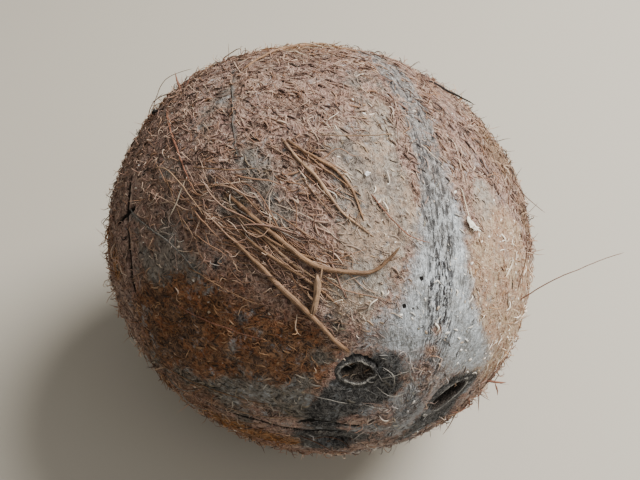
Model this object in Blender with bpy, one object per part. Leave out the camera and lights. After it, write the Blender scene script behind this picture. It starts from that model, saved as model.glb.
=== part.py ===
"""Dehusked brown coconut, lying on its side on a small flat spot.

One grown nut: a round shell, a little wider than high, with three low ridges that meet at the
eye end and an eye pit between each pair of ridges. Units are metres and +Z is up. The long
axis runs along Y with the eye end towards -Y. The origin is on the resting surface, under the
middle of the nut's bounding box.
"""

import math

import bpy
from mathutils import Matrix, Vector

MM = 0.001

# Whole nut
BELLY_RADIUS = 57.0 * MM
EYE_HALF_LENGTH = 60.0 * MM
TAIL_HALF_LENGTH = 63.0 * MM
TAPER = 0.06                # share by which the eye half is slimmer, and the tail half fuller
FLATTENING = 0.036          # share by which the nut is lower, and wider, than round
SECTOR_SWELL = 0.017        # share by which the walls between the ridges swell
EYE_END_SHIFT = Vector((3.7, 0.0, 2.3)) * MM
TAIL_END_SHIFT = Vector((-4.0, 0.0, 1.0)) * MM

# Ridges: turns about the long axis, from straight up towards +X
RIDGE_TURNS = [math.radians(24.0), math.radians(150.0), math.radians(279.0)]
RIDGE_WIDTH = math.radians(17.0)
RIDGE_RISE = 0.018          # share of the local radius

# Eyes: one between each pair of ridges, as its turn and its tilt off the eye end
EYE_PLACES = [
    (math.radians(-29.0), math.radians(21.0)),
    (math.radians(88.0), math.radians(14.5)),
    (math.radians(228.0), math.radians(21.0)),
]
EYE_RADIUS = 4.0 * MM
EYE_DEPTH = 3.0 * MM
HOLLOW_WIDTH = math.radians(11.0)
HOLLOW_SINK = 0.030         # share of the local radius

# Resting spot
SPOT_SINK = 1.2 * MM        # how much of the roundest underside the flat spot takes away

# Fineness of the meshes
SHELL_SUBDIVISIONS = 5
PIT_SEGMENTS = 16
PIT_RINGS = 8

# Finish
HUSK_BROWN = (0.19, 0.10, 0.055, 1.0)
HUSK_ROUGHNESS = 0.9


def clear_scene():
    for old_object in list(bpy.data.objects):
        bpy.data.objects.remove(old_object, do_unlink=True)


def new_collection(name):
    collection = bpy.data.collections.new(name)
    bpy.context.scene.collection.children.link(collection)
    return collection


def move_to_collection(obj, collection):
    for old_collection in list(obj.users_collection):
        old_collection.objects.unlink(obj)
    collection.objects.link(obj)


def make_husk_material():
    material = bpy.data.materials.new("husk_brown")
    material.use_nodes = True
    shader = material.node_tree.nodes["Principled BSDF"]
    shader.inputs["Base Color"].default_value = HUSK_BROWN
    shader.inputs["Roughness"].default_value = HUSK_ROUGHNESS
    shader.inputs["Metallic"].default_value = 0.0
    return material


def bell(offset, width):
    """Smooth rise to 1 at no offset, which fades away within about two widths."""
    return math.exp(-(offset / width) ** 2)


def turn_between(turn_a, turn_b):
    """Smallest signed angle from one turn about the long axis to another."""
    return (turn_a - turn_b + math.pi) % (2.0 * math.pi) - math.pi


def direction_on_nut(turn, tilt):
    """Unit vector at a turn about the long axis and a tilt off the eye end."""
    across = math.sin(tilt)
    return Vector((across * math.sin(turn), -math.cos(tilt), across * math.cos(turn)))


def nut_point(direction):
    """Point on the shell for a unit direction out of the nut's middle."""
    along = -direction.y
    turn = math.atan2(direction.x, direction.z)
    across = math.hypot(direction.x, direction.z)

    ridge_rise = sum(bell(turn_between(turn, ridge), RIDGE_WIDTH) for ridge in RIDGE_TURNS)
    radius = BELLY_RADIUS * across * (1.0 - TAPER * along)
    radius *= 1.0 + RIDGE_RISE * ridge_rise
    radius *= 1.0 - FLATTENING * math.cos(2.0 * turn)
    radius *= 1.0 - SECTOR_SWELL * math.cos(3.0 * (turn - RIDGE_TURNS[0]))

    half_length = EYE_HALF_LENGTH if along > 0.0 else TAIL_HALF_LENGTH
    end_shift = EYE_END_SHIFT if along > 0.0 else TAIL_END_SHIFT
    point = Vector((radius * math.sin(turn), -half_length * along, radius * math.cos(turn)))
    point += end_shift * along ** 2

    hollow = sum(bell(direction.angle(direction_on_nut(*eye)), HOLLOW_WIDTH) for eye in EYE_PLACES)
    return point * (1.0 - HOLLOW_SINK * hollow)


def make_shell(collection, material):
    bpy.ops.mesh.primitive_ico_sphere_add(subdivisions=SHELL_SUBDIVISIONS, radius=1.0)
    shell = bpy.context.active_object
    shell.name = "coconut"
    shell.data.name = "coconut"
    for vertex in shell.data.vertices:
        vertex.co = nut_point(vertex.co.normalized())
    shell.data.shade_smooth()
    shell.data.materials.append(material)
    move_to_collection(shell, collection)
    return shell


def add_cut(shell, cutter):
    cutter.display_type = "WIRE"
    cutter.hide_render = True
    cut = shell.modifiers.new("cut_" + cutter.name, "BOOLEAN")
    cut.operation = "DIFFERENCE"
    cut.solver = "EXACT"
    cut.object = cutter


def make_eye_cutter(number, turn, tilt, collection):
    """Round cutter that sinks one eye pit square to the shell."""
    middle = nut_point(direction_on_nut(turn, tilt))
    outward = middle.normalized()
    bpy.ops.mesh.primitive_uv_sphere_add(segments=PIT_SEGMENTS, ring_count=PIT_RINGS, radius=1.0)
    cutter = bpy.context.active_object
    cutter.name = f"eye_pit_{number}"
    facing = outward.to_track_quat("Z", "Y").to_matrix().to_4x4()
    size = Matrix.Diagonal((EYE_RADIUS, EYE_RADIUS, EYE_DEPTH, 1.0))
    cutter.data.transform(Matrix.Translation(middle) @ facing @ size)
    move_to_collection(cutter, collection)
    return cutter


def make_spot_cutter(shell, collection):
    """Block whose top face shaves the flat spot off the underside."""
    underside = min(vertex.co.z for vertex in shell.data.vertices)
    side = 2.0 * BELLY_RADIUS
    height = BELLY_RADIUS
    bpy.ops.mesh.primitive_cube_add(size=1.0)
    cutter = bpy.context.active_object
    cutter.name = "rest_spot"
    middle = Vector((0.0, 0.0, underside + SPOT_SINK - height / 2.0))
    size = Matrix.Diagonal((side, side, height, 1.0))
    cutter.data.transform(Matrix.Translation(middle) @ size)
    move_to_collection(cutter, collection)
    return cutter, underside + SPOT_SINK


def box_middle(obj):
    """Middle of the object's bounding box."""
    corners = [Vector(corner) for corner in obj.bound_box]
    return sum(corners, Vector((0.0, 0.0, 0.0))) / len(corners)


def main():
    clear_scene()
    model = new_collection("coconut")
    cutters = new_collection("coconut_cutters")
    shell = make_shell(model, make_husk_material())
    for number, (turn, tilt) in enumerate(EYE_PLACES, start=1):
        add_cut(shell, make_eye_cutter(number, turn, tilt, cutters))
    spot_cutter, spot_height = make_spot_cutter(shell, cutters)
    add_cut(shell, spot_cutter)

    middle = box_middle(shell)
    to_origin = Matrix.Translation((-middle.x, -middle.y, -spot_height))
    for obj in [shell] + list(cutters.objects):
        obj.data.transform(to_origin)


main()
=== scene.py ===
import math
import random

import bmesh
import bpy
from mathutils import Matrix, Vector
from mathutils.bvhtree import BVHTree


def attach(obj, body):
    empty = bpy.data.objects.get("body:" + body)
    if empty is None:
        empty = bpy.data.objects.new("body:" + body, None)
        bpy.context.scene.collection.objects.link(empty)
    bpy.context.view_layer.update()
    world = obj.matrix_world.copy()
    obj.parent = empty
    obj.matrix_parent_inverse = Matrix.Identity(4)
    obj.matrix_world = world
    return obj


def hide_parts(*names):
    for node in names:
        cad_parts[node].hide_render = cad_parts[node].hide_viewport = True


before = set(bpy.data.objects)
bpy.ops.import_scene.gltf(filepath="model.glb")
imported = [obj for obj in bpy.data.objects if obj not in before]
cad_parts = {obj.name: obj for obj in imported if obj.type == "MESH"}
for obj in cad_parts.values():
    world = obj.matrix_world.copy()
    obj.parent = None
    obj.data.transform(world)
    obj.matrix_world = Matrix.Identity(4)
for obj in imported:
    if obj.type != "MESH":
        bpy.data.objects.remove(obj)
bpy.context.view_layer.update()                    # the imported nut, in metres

mm = 0.001
perMetre = 1000.0                               # mm in a metre
perSquareMetre = 1000000.0                      # square mm in a square metre


# A value in a node tree that can be used in a formula
class Wire:
    def __init__(self, tree, socket):
        self.tree = tree
        self.socket = socket

    def __add__(self, other):
        return calculate(self.tree, "ADD", self, other)

    __radd__ = __add__

    def __sub__(self, other):
        return calculate(self.tree, "SUBTRACT", self, other)

    def __rsub__(self, other):
        return calculate(self.tree, "SUBTRACT", other, self)

    def __mul__(self, other):
        return calculate(self.tree, "MULTIPLY", self, other)

    __rmul__ = __mul__

    def __truediv__(self, other):
        return calculate(self.tree, "DIVIDE", self, other)

    def __neg__(self):
        return calculate(self.tree, "MULTIPLY", self, -1.0)


def plug(tree, target, value):                  # value is a wire, a socket or a plain value
    if isinstance(value, Wire):
        tree.links.new(value.socket, target)
    elif isinstance(value, bpy.types.NodeSocket):
        tree.links.new(value, target)
    elif value is not None:
        target.default_value = value


def addNode(tree, kind, inputs=None, **settings):
    node = tree.nodes.new(kind)
    for name, value in settings.items():
        setattr(node, name, value)
    for name, value in (inputs or {}).items():
        plug(tree, node.inputs[name], value)
    return node


def fieldOf(tree, kind, output):                # one output of a node that needs no settings
    return Wire(tree, tree.nodes.new(kind).outputs[output])


def calculate(tree, operation, *values):
    node = addNode(tree, "ShaderNodeMath", operation=operation)
    for socket, value in zip(node.inputs, values):
        plug(tree, socket, value)
    return Wire(tree, node.outputs[0])


def vectorMath(tree, operation, *values):
    node = addNode(tree, "ShaderNodeVectorMath", operation=operation)
    for socket, value in zip(node.inputs, values):
        plug(tree, socket, value)
    output = "Value" if operation in ("DOT_PRODUCT", "LENGTH", "DISTANCE") else "Vector"
    return Wire(tree, node.outputs[output])


def scaled(tree, vector, factor):
    node = addNode(tree, "ShaderNodeVectorMath", operation="SCALE")
    plug(tree, node.inputs["Vector"], vector)
    plug(tree, node.inputs["Scale"], factor)
    return Wire(tree, node.outputs["Vector"])


def splitVector(tree, vector):
    node = addNode(tree, "ShaderNodeSeparateXYZ", {"Vector": vector})
    return [Wire(tree, output) for output in node.outputs]


def joinVector(tree, x, y, z):
    node = addNode(tree, "ShaderNodeCombineXYZ", {"X": x, "Y": y, "Z": z})
    return Wire(tree, node.outputs["Vector"])


def heldUp(tree, vector, lowest):               # the same place, but no lower than this
    x, y, z = splitVector(tree, vector)
    return joinVector(tree, x, y, calculate(tree, "MAXIMUM", z, lowest))


def addUp(total, part):
    return part if total is None else total + part


def highest(tree, total, part):
    return part if total is None else calculate(tree, "MAXIMUM", total, part)


def upToOne(tree, value):
    return calculate(tree, "MINIMUM", value, 1.0)


def bell(tree, offset, width):                  # 1 at no offset, gone at about two widths
    ratio = offset / width
    return calculate(tree, "EXPONENT", -(ratio * ratio))


def ramp(tree, value, low, high):               # soft step from 0 at low to 1 at high
    node = addNode(tree, "ShaderNodeMapRange", interpolation_type="SMOOTHSTEP")
    for name, number in (("Value", value), ("From Min", low), ("From Max", high)):
        plug(tree, node.inputs[name], number)
    return Wire(tree, node.outputs["Result"])


def curveOf(tree, value, points):               # value through a curve drawn through the given points, all from 0 to 1
    node = tree.nodes.new("ShaderNodeFloatCurve")
    line = node.mapping.curves[0]
    for place, height in points[1:-1]:
        line.points.new(place, height)
    line.points[0].location = points[0]
    line.points[-1].location = points[-1]
    node.mapping.update()
    plug(tree, node.inputs["Value"], value)
    return Wire(tree, node.outputs["Value"])


def mixNumbers(tree, factor, first, second):
    node = addNode(tree, "ShaderNodeMix", data_type="FLOAT")
    plug(tree, node.inputs[0], factor)
    plug(tree, node.inputs[2], first)
    plug(tree, node.inputs[3], second)
    return Wire(tree, node.outputs[0])


def mixVectors(tree, factor, first, second):
    node = addNode(tree, "ShaderNodeMix", data_type="VECTOR")
    plug(tree, node.inputs[0], factor)
    plug(tree, node.inputs[4], first)
    plug(tree, node.inputs[5], second)
    return Wire(tree, node.outputs[1])


def mixColours(tree, factor, first, second, blend="MIX"):       # fixed colours are red, green, blue
    node = addNode(tree, "ShaderNodeMix", data_type="RGBA", blend_type=blend)
    plug(tree, node.inputs[0], factor)
    for number, colour in ((6, first), (7, second)):
        plug(tree, node.inputs[number], (*colour, 1.0) if isinstance(colour, tuple) else colour)
    return Wire(tree, node.outputs[2])


def noiseAt(tree, vector, scale, detail=2.0, roughness=0.5, distortion=0.0, seed=0.0, output="Fac"):
    node = addNode(tree, "ShaderNodeTexNoise", noise_dimensions="4D", inputs={
        "Vector": vector, "W": seed, "Scale": scale, "Detail": detail,
        "Roughness": roughness, "Distortion": distortion})
    return Wire(tree, node.outputs[output])


def sway(tree, vector, scale, detail, seed):     # a random push of up to half a unit each way
    colour = noiseAt(tree, vector, scale, detail=detail, seed=seed, output="Color")
    return vectorMath(tree, "SUBTRACT", colour, (0.5, 0.5, 0.5))


def newTree(name, kind, inputs, outputs):
    # inputs and outputs are name to (socket type, default)
    tree = bpy.data.node_groups.new(name, kind)
    for direction, sockets in (("INPUT", inputs), ("OUTPUT", outputs)):
        for label, (socketType, default) in sockets.items():
            socket = tree.interface.new_socket(name=label, in_out=direction, socket_type=socketType)
            if default is not None:
                socket.default_value = default
    start = tree.nodes.new("NodeGroupInput")
    end = tree.nodes.new("NodeGroupOutput")
    given = {label: Wire(tree, start.outputs[label]) for label in inputs}
    return tree, given, end


def asSockets(values):                          # plain numbers as float inputs of a tree
    return {label: ("NodeSocketFloat", value) for label, value in values.items()}


def newGrowth(name, sizes, others):
    # a tree with float sizes, its other inputs and a material
    inputs = {"Geometry": ("NodeSocketGeometry", None), **asSockets(sizes), **others,
              "Material": ("NodeSocketMaterial", None)}
    return newTree(name, "GeometryNodeTree", inputs, {"Geometry": ("NodeSocketGeometry", None)})


def setInputs(modifier, values):
    items = modifier.node_group.interface.items_tree
    places = {item.name: item.identifier for item in items if item.in_out == "INPUT"}
    for label, value in values.items():
        modifier[places[label]] = value


def namedField(tree, label, kind="FLOAT"):
    node = addNode(tree, "GeometryNodeInputNamedAttribute", {"Name": label}, data_type=kind)
    return Wire(tree, node.outputs["Attribute"])


def storeField(tree, geometry, label, value, kind="FLOAT", domain="POINT"):
    node = addNode(tree, "GeometryNodeStoreNamedAttribute", data_type=kind, domain=domain,
                   inputs={"Geometry": geometry, "Name": label})
    plug(tree, node.inputs["Value"], value)
    return Wire(tree, node.outputs["Geometry"])


def onNut(turn, tilt):                          # unit vector at degrees about and off the eye end
    across = math.sin(math.radians(tilt))
    return Vector((across * math.sin(math.radians(turn)), -math.cos(math.radians(tilt)),
                   across * math.cos(math.radians(turn))))


def placeObject(name, data):
    item = bpy.data.objects.new(name, data)
    bpy.context.scene.collection.objects.link(item)
    return item


def placePiece(name, mesh):
    piece = placeObject(name, mesh)
    mesh.calc_loop_triangles()
    print(f"{name}: {len(mesh.loop_triangles)} triangles")
    return piece


def growPiece(name, start, tree, values):
    # runs a mesh through a tree, freezes the result as a plain mesh and drops the source
    source = placeObject(name + "Source", start)
    grow = source.modifiers.new(tree.name, "NODES")
    grow.node_group = tree
    setInputs(grow, values)
    bpy.context.view_layer.update()
    graph = bpy.context.evaluated_depsgraph_get()
    mesh = bpy.data.meshes.new_from_object(
        source.evaluated_get(graph), preserve_all_data_layers=True, depsgraph=graph)
    mesh.name = name
    bpy.data.objects.remove(source, do_unlink=True)
    return placePiece(name, mesh)


def finishTree(tree, end, geometry, material):
    # gives the piece its material and ends the tree
    painted = addNode(tree, "GeometryNodeSetMaterial", {"Geometry": geometry, "Material": material})
    tree.links.new(painted.outputs["Geometry"], end.inputs["Geometry"])


def smoothed(tree, geometry):
    return addNode(tree, "GeometryNodeSetShadeSmooth", {"Geometry": geometry}).outputs["Geometry"]


# The nut's own shape, in metres and degrees. Turns go about the long axis, from up towards +X,
# and tilts go off the eye end.
nut = dict(
    middle=Vector((-0.0005, -0.0017, 0.0542)),
    bellyRadius=57.0 * mm,
    eyeHalfLength=60.0 * mm,
    tailHalfLength=63.0 * mm,
    taper=0.06,
    flattening=0.036,
    sectorSwell=0.017,
    eyeEndShift=Vector((3.7, 0.0, 2.3)) * mm,
    tailEndShift=Vector((-4.0, 0.0, 1.0)) * mm,
    ridgeTurns=(24.0, 150.0, 279.0),
    ridgeWidth=17.0,
    ridgeRise=0.018,
    eyes=((-29.0, 21.0, 4.5), (88.0, 14.5, 5.5), (228.0, 21.0, 4.6)),
    hollowWidth=11.0,
    hollowSink=0.030,
    faceRows=120,
    clearOf=120.0 * mm)                         # safely outside the nut

# How the surface of the nut is worn and felted
relief = dict(
    clumpRise=1.0 * mm,
    feltRise=0.70 * mm,
    grooveDepth=0.55 * mm,
    crackDepth=0.9 * mm,
    pitDepth=4.6 * mm,
    pinholeDepth=0.5 * mm)

# Zones of colour, powder, stain and long fibres, each as turn, tilt and width in degrees. Before them
# stand how patchy the borders of the coloured ones are and how strong a zone must be to look solid.
zones = dict(
    patchiness=dict(brown=1.7, rust=1.6, tan=1.9, beige=2.8, weathered=1.9, charcoal=1.6, bare=4.6,
                    orange=1.1),
    solidAt=dict(brown=1.2, rust=1.5, tan=0.98, beige=1.25, weathered=1.3, charcoal=1.45, bare=1.6,
                 orange=0.85),
    brown=((54, 82, 8), (66, 68, 5), (86, 92, 24), (66, 114, 20), (112, 78, 20), (150, 104, 28),
           (180, 70, 18), (-150, 112, 28), (-112, 106, 20), (-62, 128, 18), (10, 154, 28),
           (92, 150, 20)),
    rust=((-60, 45, 19), (-50, 33, 12), (-37, 30, 7), (-78, 60, 13), (-60, 62, 13), (-118, 42, 17),
          (-104, 68, 11), (-150, 85, 26), (126, 62, 19), (84, 108, 11), (52, 128, 10), (-70, 122, 11)),
    tan=((58, 44, 16), (70, 34, 12), (54, 56, 6), (46, 36, 10), (96, 60, 16), (8, 132, 16), (176, 66, 16),
         (-160, 96, 7), (-138, 126, 8)),
    beige=((7, 68, 9), (9, 57, 9), (3, 46, 10), (-8, 37, 7.5), (12, 80, 7), (42, 62, 6), (44, 50, 8),
           (170, 48, 12), (-100, 74, 9)),
    charcoal=((-26, 15, 5), (-12, 14, 5), (-1, 20, 4), (6, 20, 3), (2, 14, 4), (-38, 17, 4), (-52, 15, 5),
              (84, 22, 3.6), (76, 23, 3.4), (97, 13, 5), (66, 19, 2.8), (116, 11, 4), (104, 18, 5),
              (-140, 8, 5), (-36, 14, 4), (-64, 17, 4), (-79, 15, 4), (-108, 12, 5), (-104, 20, 4),
              (-132, 19, 6), (150, 12, 5), (226, 20, 8), (-41, 63, 2.6), (-42, 58, 2.2), (-47, 45, 2.4),
              (-21, 64, 2.4), (-19, 35, 1.8)),
    powder=((22, 12, 3.0), (40, 9, 4.0), (62, 7, 3.4), (96, 4, 4.0), (123, 7, 3.0), (155, 8, 3.4),
            (-98, 3, 2.4), (-90, 8, 2.6), (-120, 14, 2.2)),
    weathered=((-30, 27, 3.2), (-19, 31, 3.4), (-46, 25, 2.8), (-70, 34, 6), (-80, 41, 6), (-84, 52, 5),
               (-64, 26, 5), (-72, 20, 6), (-88, 62, 4), (-94, 34, 4), (98, 80, 8), (70, 96, 6),
               (142, 96, 8), (-96, 110, 8), (-150, 128, 9), (30, 148, 8)),
    orange=((-106, 46, 4.5), (-108, 38, 4.5), (-112, 30, 4), (-120, 24, 4), (-132, 19, 3.5), (-80, 98, 7),
            (-74, 84, 4), (140, 84, 9)),
    stain=((28, 23, 1.8), (28, 28, 1.3), (29, 18.5, 1.5), (40, 96, 5), (14, 92, 4)),
    tangle=((-31, 61, 5), (-26, 53, 6), (-20, 46, 5), (-14, 47, 4), (-30, 67, 4), (-5, 61, 4),
            (-9, 70, 4), (-38, 73, 5), (16, 76, 4), (1, 15, 2.4), (8, 14, 1.6), (-20, 11, 2.0),
            (116, 72, 9), (-118, 82, 10), (164, 112, 9), (2, 122, 8), (-152, 98, 9), (-176, 84, 7)),
    sheaf=((-33, 66, 5), (-29, 58, 5), (-25, 50, 5), (-20, 45, 4), (-16, 47, 4), (-8, 66, 4),
           (-10, 73, 4), (-39, 76, 4), (-21, 37, 3), (116, 72, 8), (-118, 82, 9), (164, 112, 8),
           (2, 122, 7), (-152, 98, 9), (-176, 84, 7)),
    bare=((-50, 73, 5.5), (-49, 62, 5), (-54, 68, 4), (-20, 77, 5), (-22, 70, 5), (-31, 67, 4),
          (1, 72, 6), (-21, 61, 4), (-6, 58, 5), (-26, 100, 7), (-44, 86, 7), (14, 96, 6), (-60, 72, 6),
          (10, 62, 6), (60, 100, 7), (-110, 100, 9), (130, 110, 7), (-170, 60, 8)))

# The pale ridges. Strength, half width and sideways shift change with the tilt off the eye end.
ridgeLook = dict(
    strengths={24.0: 1.0, 150.0: 0.8, 279.0: 0.22},
    widths={24.0: 1.0, 150.0: 0.7, 279.0: 0.5},
    strengthAlong=((0, 0.45), (17, 0.5), (22, 0.72), (30, 1.0), (50, 1.0), (57, 0.80), (64, 0.52),
                   (74, 0.38), (100, 0.32), (180, 0.22)),
    halfWidthAlong=((0, 0.26), (24, 0.30), (30, 0.27), (35, 0.18), (43, 0.128), (52, 0.105), (64, 0.085),
                    (88, 0.046), (120, 0.04), (180, 0.04)),
    shiftAlong=((0, 0.09), (29, 0.075), (35, 0.035), (52, 0.028), (64, 0.02), (90, 0.0), (180, 0.0)))

# Lines on the surface, as turns and tilts
cracks = (
    ((-56, 99), (-59, 92), (-61, 88), (-65, 80), (-71, 73)),
    ((-66, 92), (-62, 90), (-57, 88)),
    ((-96, 46), (-95.5, 42), (-94, 37), (-93, 32), (-93.5, 29), (-96, 24), (-98, 19), (-97, 15),
     (-102, 10)),
    ((-84, 20), (-79, 18), (-78, 14), (-80, 10), (-86, 6)),
    ((171, 118), (166, 104), (169, 90)))
veins = (
    ((-19, 113), (-21, 98), (-25, 78)),
    ((-41, 112), (-39, 99), (-38, 80)),
    ((-59, 88), (-54, 78), (-50, 71), (-49, 65), (-48, 58)),
    ((110, 100), (104, 84), (106, 66)),
    ((-150, 60), (-158, 74), (-154, 92)))
pinholes = ((18, 39), (11, 33), (132, 44))


def makePaths(name, paths):
    # lines on the unit ball, fine enough to follow it
    vertices = []
    edges = []
    for path in paths:
        for (turnA, tiltA), (turnB, tiltB) in zip(path, path[1:]):
            steps = max(2, int(abs(tiltA - tiltB) / 2) + int(abs(turnA - turnB) / 3))
            start = len(vertices)
            for step in range(steps + 1):
                share = step / steps
                wander = 0.006 * math.sin(4.7 * (start + step)) * math.sin(math.pi * share)
                turn = turnA + (turnB - turnA) * share + math.degrees(wander)
                vertices.append(onNut(turn, tiltA + (tiltB - tiltA) * share))
            edges += [(start + step, start + step + 1) for step in range(steps)]
    mesh = bpy.data.meshes.new(name)
    mesh.from_pydata(vertices, edges, [])
    return placeObject(name, mesh)


def pathDistance(tree, guide, place, element="EDGES"):
    # how far a place on the unit ball is from the guide's lines, in metres on the nut
    info = addNode(tree, "GeometryNodeObjectInfo", {"Object": guide})
    near = addNode(tree, "GeometryNodeProximity", {"Sample Position": place}, target_element=element)
    tree.links.new(info.outputs["Geometry"], near.inputs["Geometry"])
    return Wire(tree, near.outputs["Distance"]) * nut["bellyRadius"]


def zoneField(tree, direction, places):
    total = None
    for turn, tilt, width in places:
        facing = vectorMath(tree, "DOT_PRODUCT", direction, onNut(turn, tilt))
        away = calculate(tree, "ARCCOSINE", upToOne(tree, facing))
        part = bell(tree, away, math.radians(width))
        total = addUp(total, part)
    return total


def cubeMap(tree, place, facing):
    # lays the six sides of a cube from -1 to 1 out in three columns and two rows
    x, y, z = splitVector(tree, place)
    sides = splitVector(tree, facing)
    u = None
    v = None
    for column, (side, across, up) in enumerate(zip(sides, (y, x, x), (z, z, y))):
        chosen = ramp(tree, calculate(tree, "ABSOLUTE", side), 0.4, 0.6)
        row = calculate(tree, "GREATER_THAN", side, 0.0)
        ownU = ((across * 0.49 + 0.5) + float(column)) / 3.0 * chosen
        ownV = ((up * 0.49 + 0.5) + row) / 2.0 * chosen
        u = addUp(u, ownU)
        v = addUp(v, ownV)
    return joinVector(tree, u, v, 0.0)


def buildNutTree(guides):
    sizes = {
        "Belly Radius": nut["bellyRadius"], "Eye Half Length": nut["eyeHalfLength"],
        "Tail Half Length": nut["tailHalfLength"], "Taper": nut["taper"],
        "Flattening": nut["flattening"], "Sector Swell": nut["sectorSwell"],
        "Ridge Rise": nut["ridgeRise"], "Ridge Width": math.radians(nut["ridgeWidth"]),
        "Hollow Sink": nut["hollowSink"], "Hollow Width": math.radians(nut["hollowWidth"]),
        "Clump Rise": relief["clumpRise"], "Felt Rise": relief["feltRise"],
        "Groove Depth": relief["grooveDepth"], "Crack Depth": relief["crackDepth"],
        "Pit Depth": relief["pitDepth"], "Pinhole Depth": relief["pinholeDepth"]}
    tree, given, end = newGrowth("nutShape", sizes, {
        "Seed": ("NodeSocketFloat", 3.0), "Face Rows": ("NodeSocketInt", nut["faceRows"])})
    seed = given["Seed"]

    # a ball of even squares
    rows = given["Face Rows"] + 1.0
    cube = addNode(tree, "GeometryNodeMeshCube", {"Size": (2.0, 2.0, 2.0)})
    for side in ("Vertices X", "Vertices Y", "Vertices Z"):
        plug(tree, cube.inputs[side], rows)
    place = fieldOf(tree, "GeometryNodeInputPosition", "Position")
    sides = [calculate(tree, "TANGENT", side * (math.pi / 4)) for side in splitVector(tree, place)]
    ball = vectorMath(tree, "NORMALIZE", joinVector(tree, *sides))
    x, y, z = splitVector(tree, ball)

    # the grown shape
    along = -y
    turn = calculate(tree, "ARCTAN2", x, z)
    ridges = None
    for ridgeTurn in nut["ridgeTurns"]:
        offset = calculate(tree, "WRAP", turn - math.radians(ridgeTurn), math.pi, -math.pi)
        ridge = bell(tree, offset, given["Ridge Width"])
        ridges = addUp(ridges, ridge)
    fullness = given["Belly Radius"] * (1.0 - given["Taper"] * along)
    fullness *= 1.0 + given["Ridge Rise"] * ridges
    fullness *= 1.0 - given["Flattening"] * calculate(tree, "COSINE", turn * 2.0)
    lobes = calculate(tree, "COSINE", (turn - math.radians(nut["ridgeTurns"][0])) * 3.0)
    fullness *= 1.0 - given["Sector Swell"] * lobes
    eyeSide = calculate(tree, "GREATER_THAN", along, 0.0)
    halfLength = mixNumbers(tree, eyeSide, given["Tail Half Length"], given["Eye Half Length"])
    shift = mixVectors(tree, eyeSide, nut["tailEndShift"], nut["eyeEndShift"])
    body = joinVector(tree, fullness * x, halfLength * y, fullness * z)
    body = vectorMath(tree, "ADD", body, scaled(tree, shift, along * along))
    hollow = None
    pit = None
    unworn = 1.0                                # no felt grows round the holes
    for eyeTurn, eyeTilt, pitRadius in nut["eyes"]:
        facing = vectorMath(tree, "DOT_PRODUCT", ball, onNut(eyeTurn, eyeTilt))
        away = calculate(tree, "ARCCOSINE", upToOne(tree, facing))
        dip = bell(tree, away, given["Hollow Width"])
        reach = away * given["Belly Radius"]
        hole = ramp(tree, reach, (pitRadius + 0.45) * mm, (pitRadius - 0.45) * mm)
        unworn = ramp(tree, reach, (pitRadius + 0.8) * mm, (pitRadius + 4.0) * mm) * unworn
        hollow = addUp(hollow, dip)
        pit = addUp(pit, hole)
    body = scaled(tree, body, 1.0 - given["Hollow Sink"] * hollow)
    direction = vectorMath(tree, "NORMALIZE", body)
    grain = joinVector(tree, calculate(tree, "SINE", turn) * 57.0, calculate(tree, "COSINE", turn) * 57.0,
                       calculate(tree, "ARCCOSINE", along) * 57.0)

    # where the pale ridges, the coloured zones and the lines run
    zoneX, zoneY, zoneZ = splitVector(tree, direction)
    tilt = calculate(tree, "ARCCOSINE", -zoneY)
    tiltShare = tilt / math.pi
    edgeNoise = noiseAt(tree, body, 160.0, detail=3.0, seed=seed) - 0.5

    def alongTilt(points):
        return curveOf(tree, tiltShare, [(degrees / 180, height) for degrees, height in points])

    strengthAlong = alongTilt(ridgeLook["strengthAlong"])
    widthAlong = alongTilt(ridgeLook["halfWidthAlong"])
    shiftAlong = alongTilt(ridgeLook["shiftAlong"])
    pale = None
    core = None
    spine = None
    for ridgeTurn in nut["ridgeTurns"]:
        angle = math.radians(ridgeTurn)
        sideways = zoneX * math.cos(angle) - zoneZ * math.sin(angle) - shiftAlong
        upward = zoneX * math.sin(angle) + zoneZ * math.cos(angle)
        front = ramp(tree, upward, -0.02, 0.08)
        width = widthAlong * ridgeLook["widths"][ridgeTurn]
        spread = calculate(tree, "ABSOLUTE", sideways + edgeNoise * 0.13)
        strength = front * strengthAlong * ridgeLook["strengths"][ridgeTurn]
        band = ramp(tree, spread / width, 1.45, 0.55) * strength
        line = bell(tree, sideways + shiftAlong * 0.5 + edgeNoise * 0.02, 0.048) * front
        offLine = calculate(tree, "ABSOLUTE", sideways + shiftAlong + edgeNoise * 0.05)
        worn = ramp(tree, offLine, 0.098, 0.045) * front * ridgeLook["strengths"][ridgeTurn]
        spine = highest(tree, spine, worn)
        pale = highest(tree, pale, band)
        core = highest(tree, core, line)
    crackAway = pathDistance(tree, guides["cracks"], direction)
    veinAway = pathDistance(tree, guides["veins"], direction)
    holeAway = pathDistance(tree, guides["pinholes"], direction, "POINTS")
    zoneFields = {}
    drawnOut = vectorMath(tree, "MULTIPLY", grain, (0.17, 0.17, 0.055))
    for number, label in enumerate(zones["patchiness"]):
        patches = noiseAt(tree, body, 190.0, detail=4.0, roughness=0.68, distortion=0.3,
                          seed=seed + 6.0 + number)
        strips = noiseAt(tree, drawnOut, 1.0, detail=3.0, roughness=0.6, seed=seed + 14.0 + number)
        patches = (patches + strips) * 0.5 - 0.5
        spread = zoneField(tree, direction, zones[label]) + patches * zones["patchiness"][label] * 1.25
        zoneFields[label] = ramp(tree, spread, 0.02, zones["solidAt"][label])
    charcoal = zoneFields["charcoal"]
    for label in ("tangle", "sheaf"):
        zoneFields[label] = upToOne(tree, zoneField(tree, direction, zones[label]))
    powder = zoneField(tree, direction, zones["powder"])
    pale = calculate(tree, "MAXIMUM", pale, ramp(tree, powder + edgeNoise * 2.0, 0.2, 0.9) * 0.75)
    stain = upToOne(tree, zoneField(tree, direction, zones["stain"]))
    pale = pale * (1.0 - charcoal * 0.9) * (1.0 - stain * 0.9)
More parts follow.
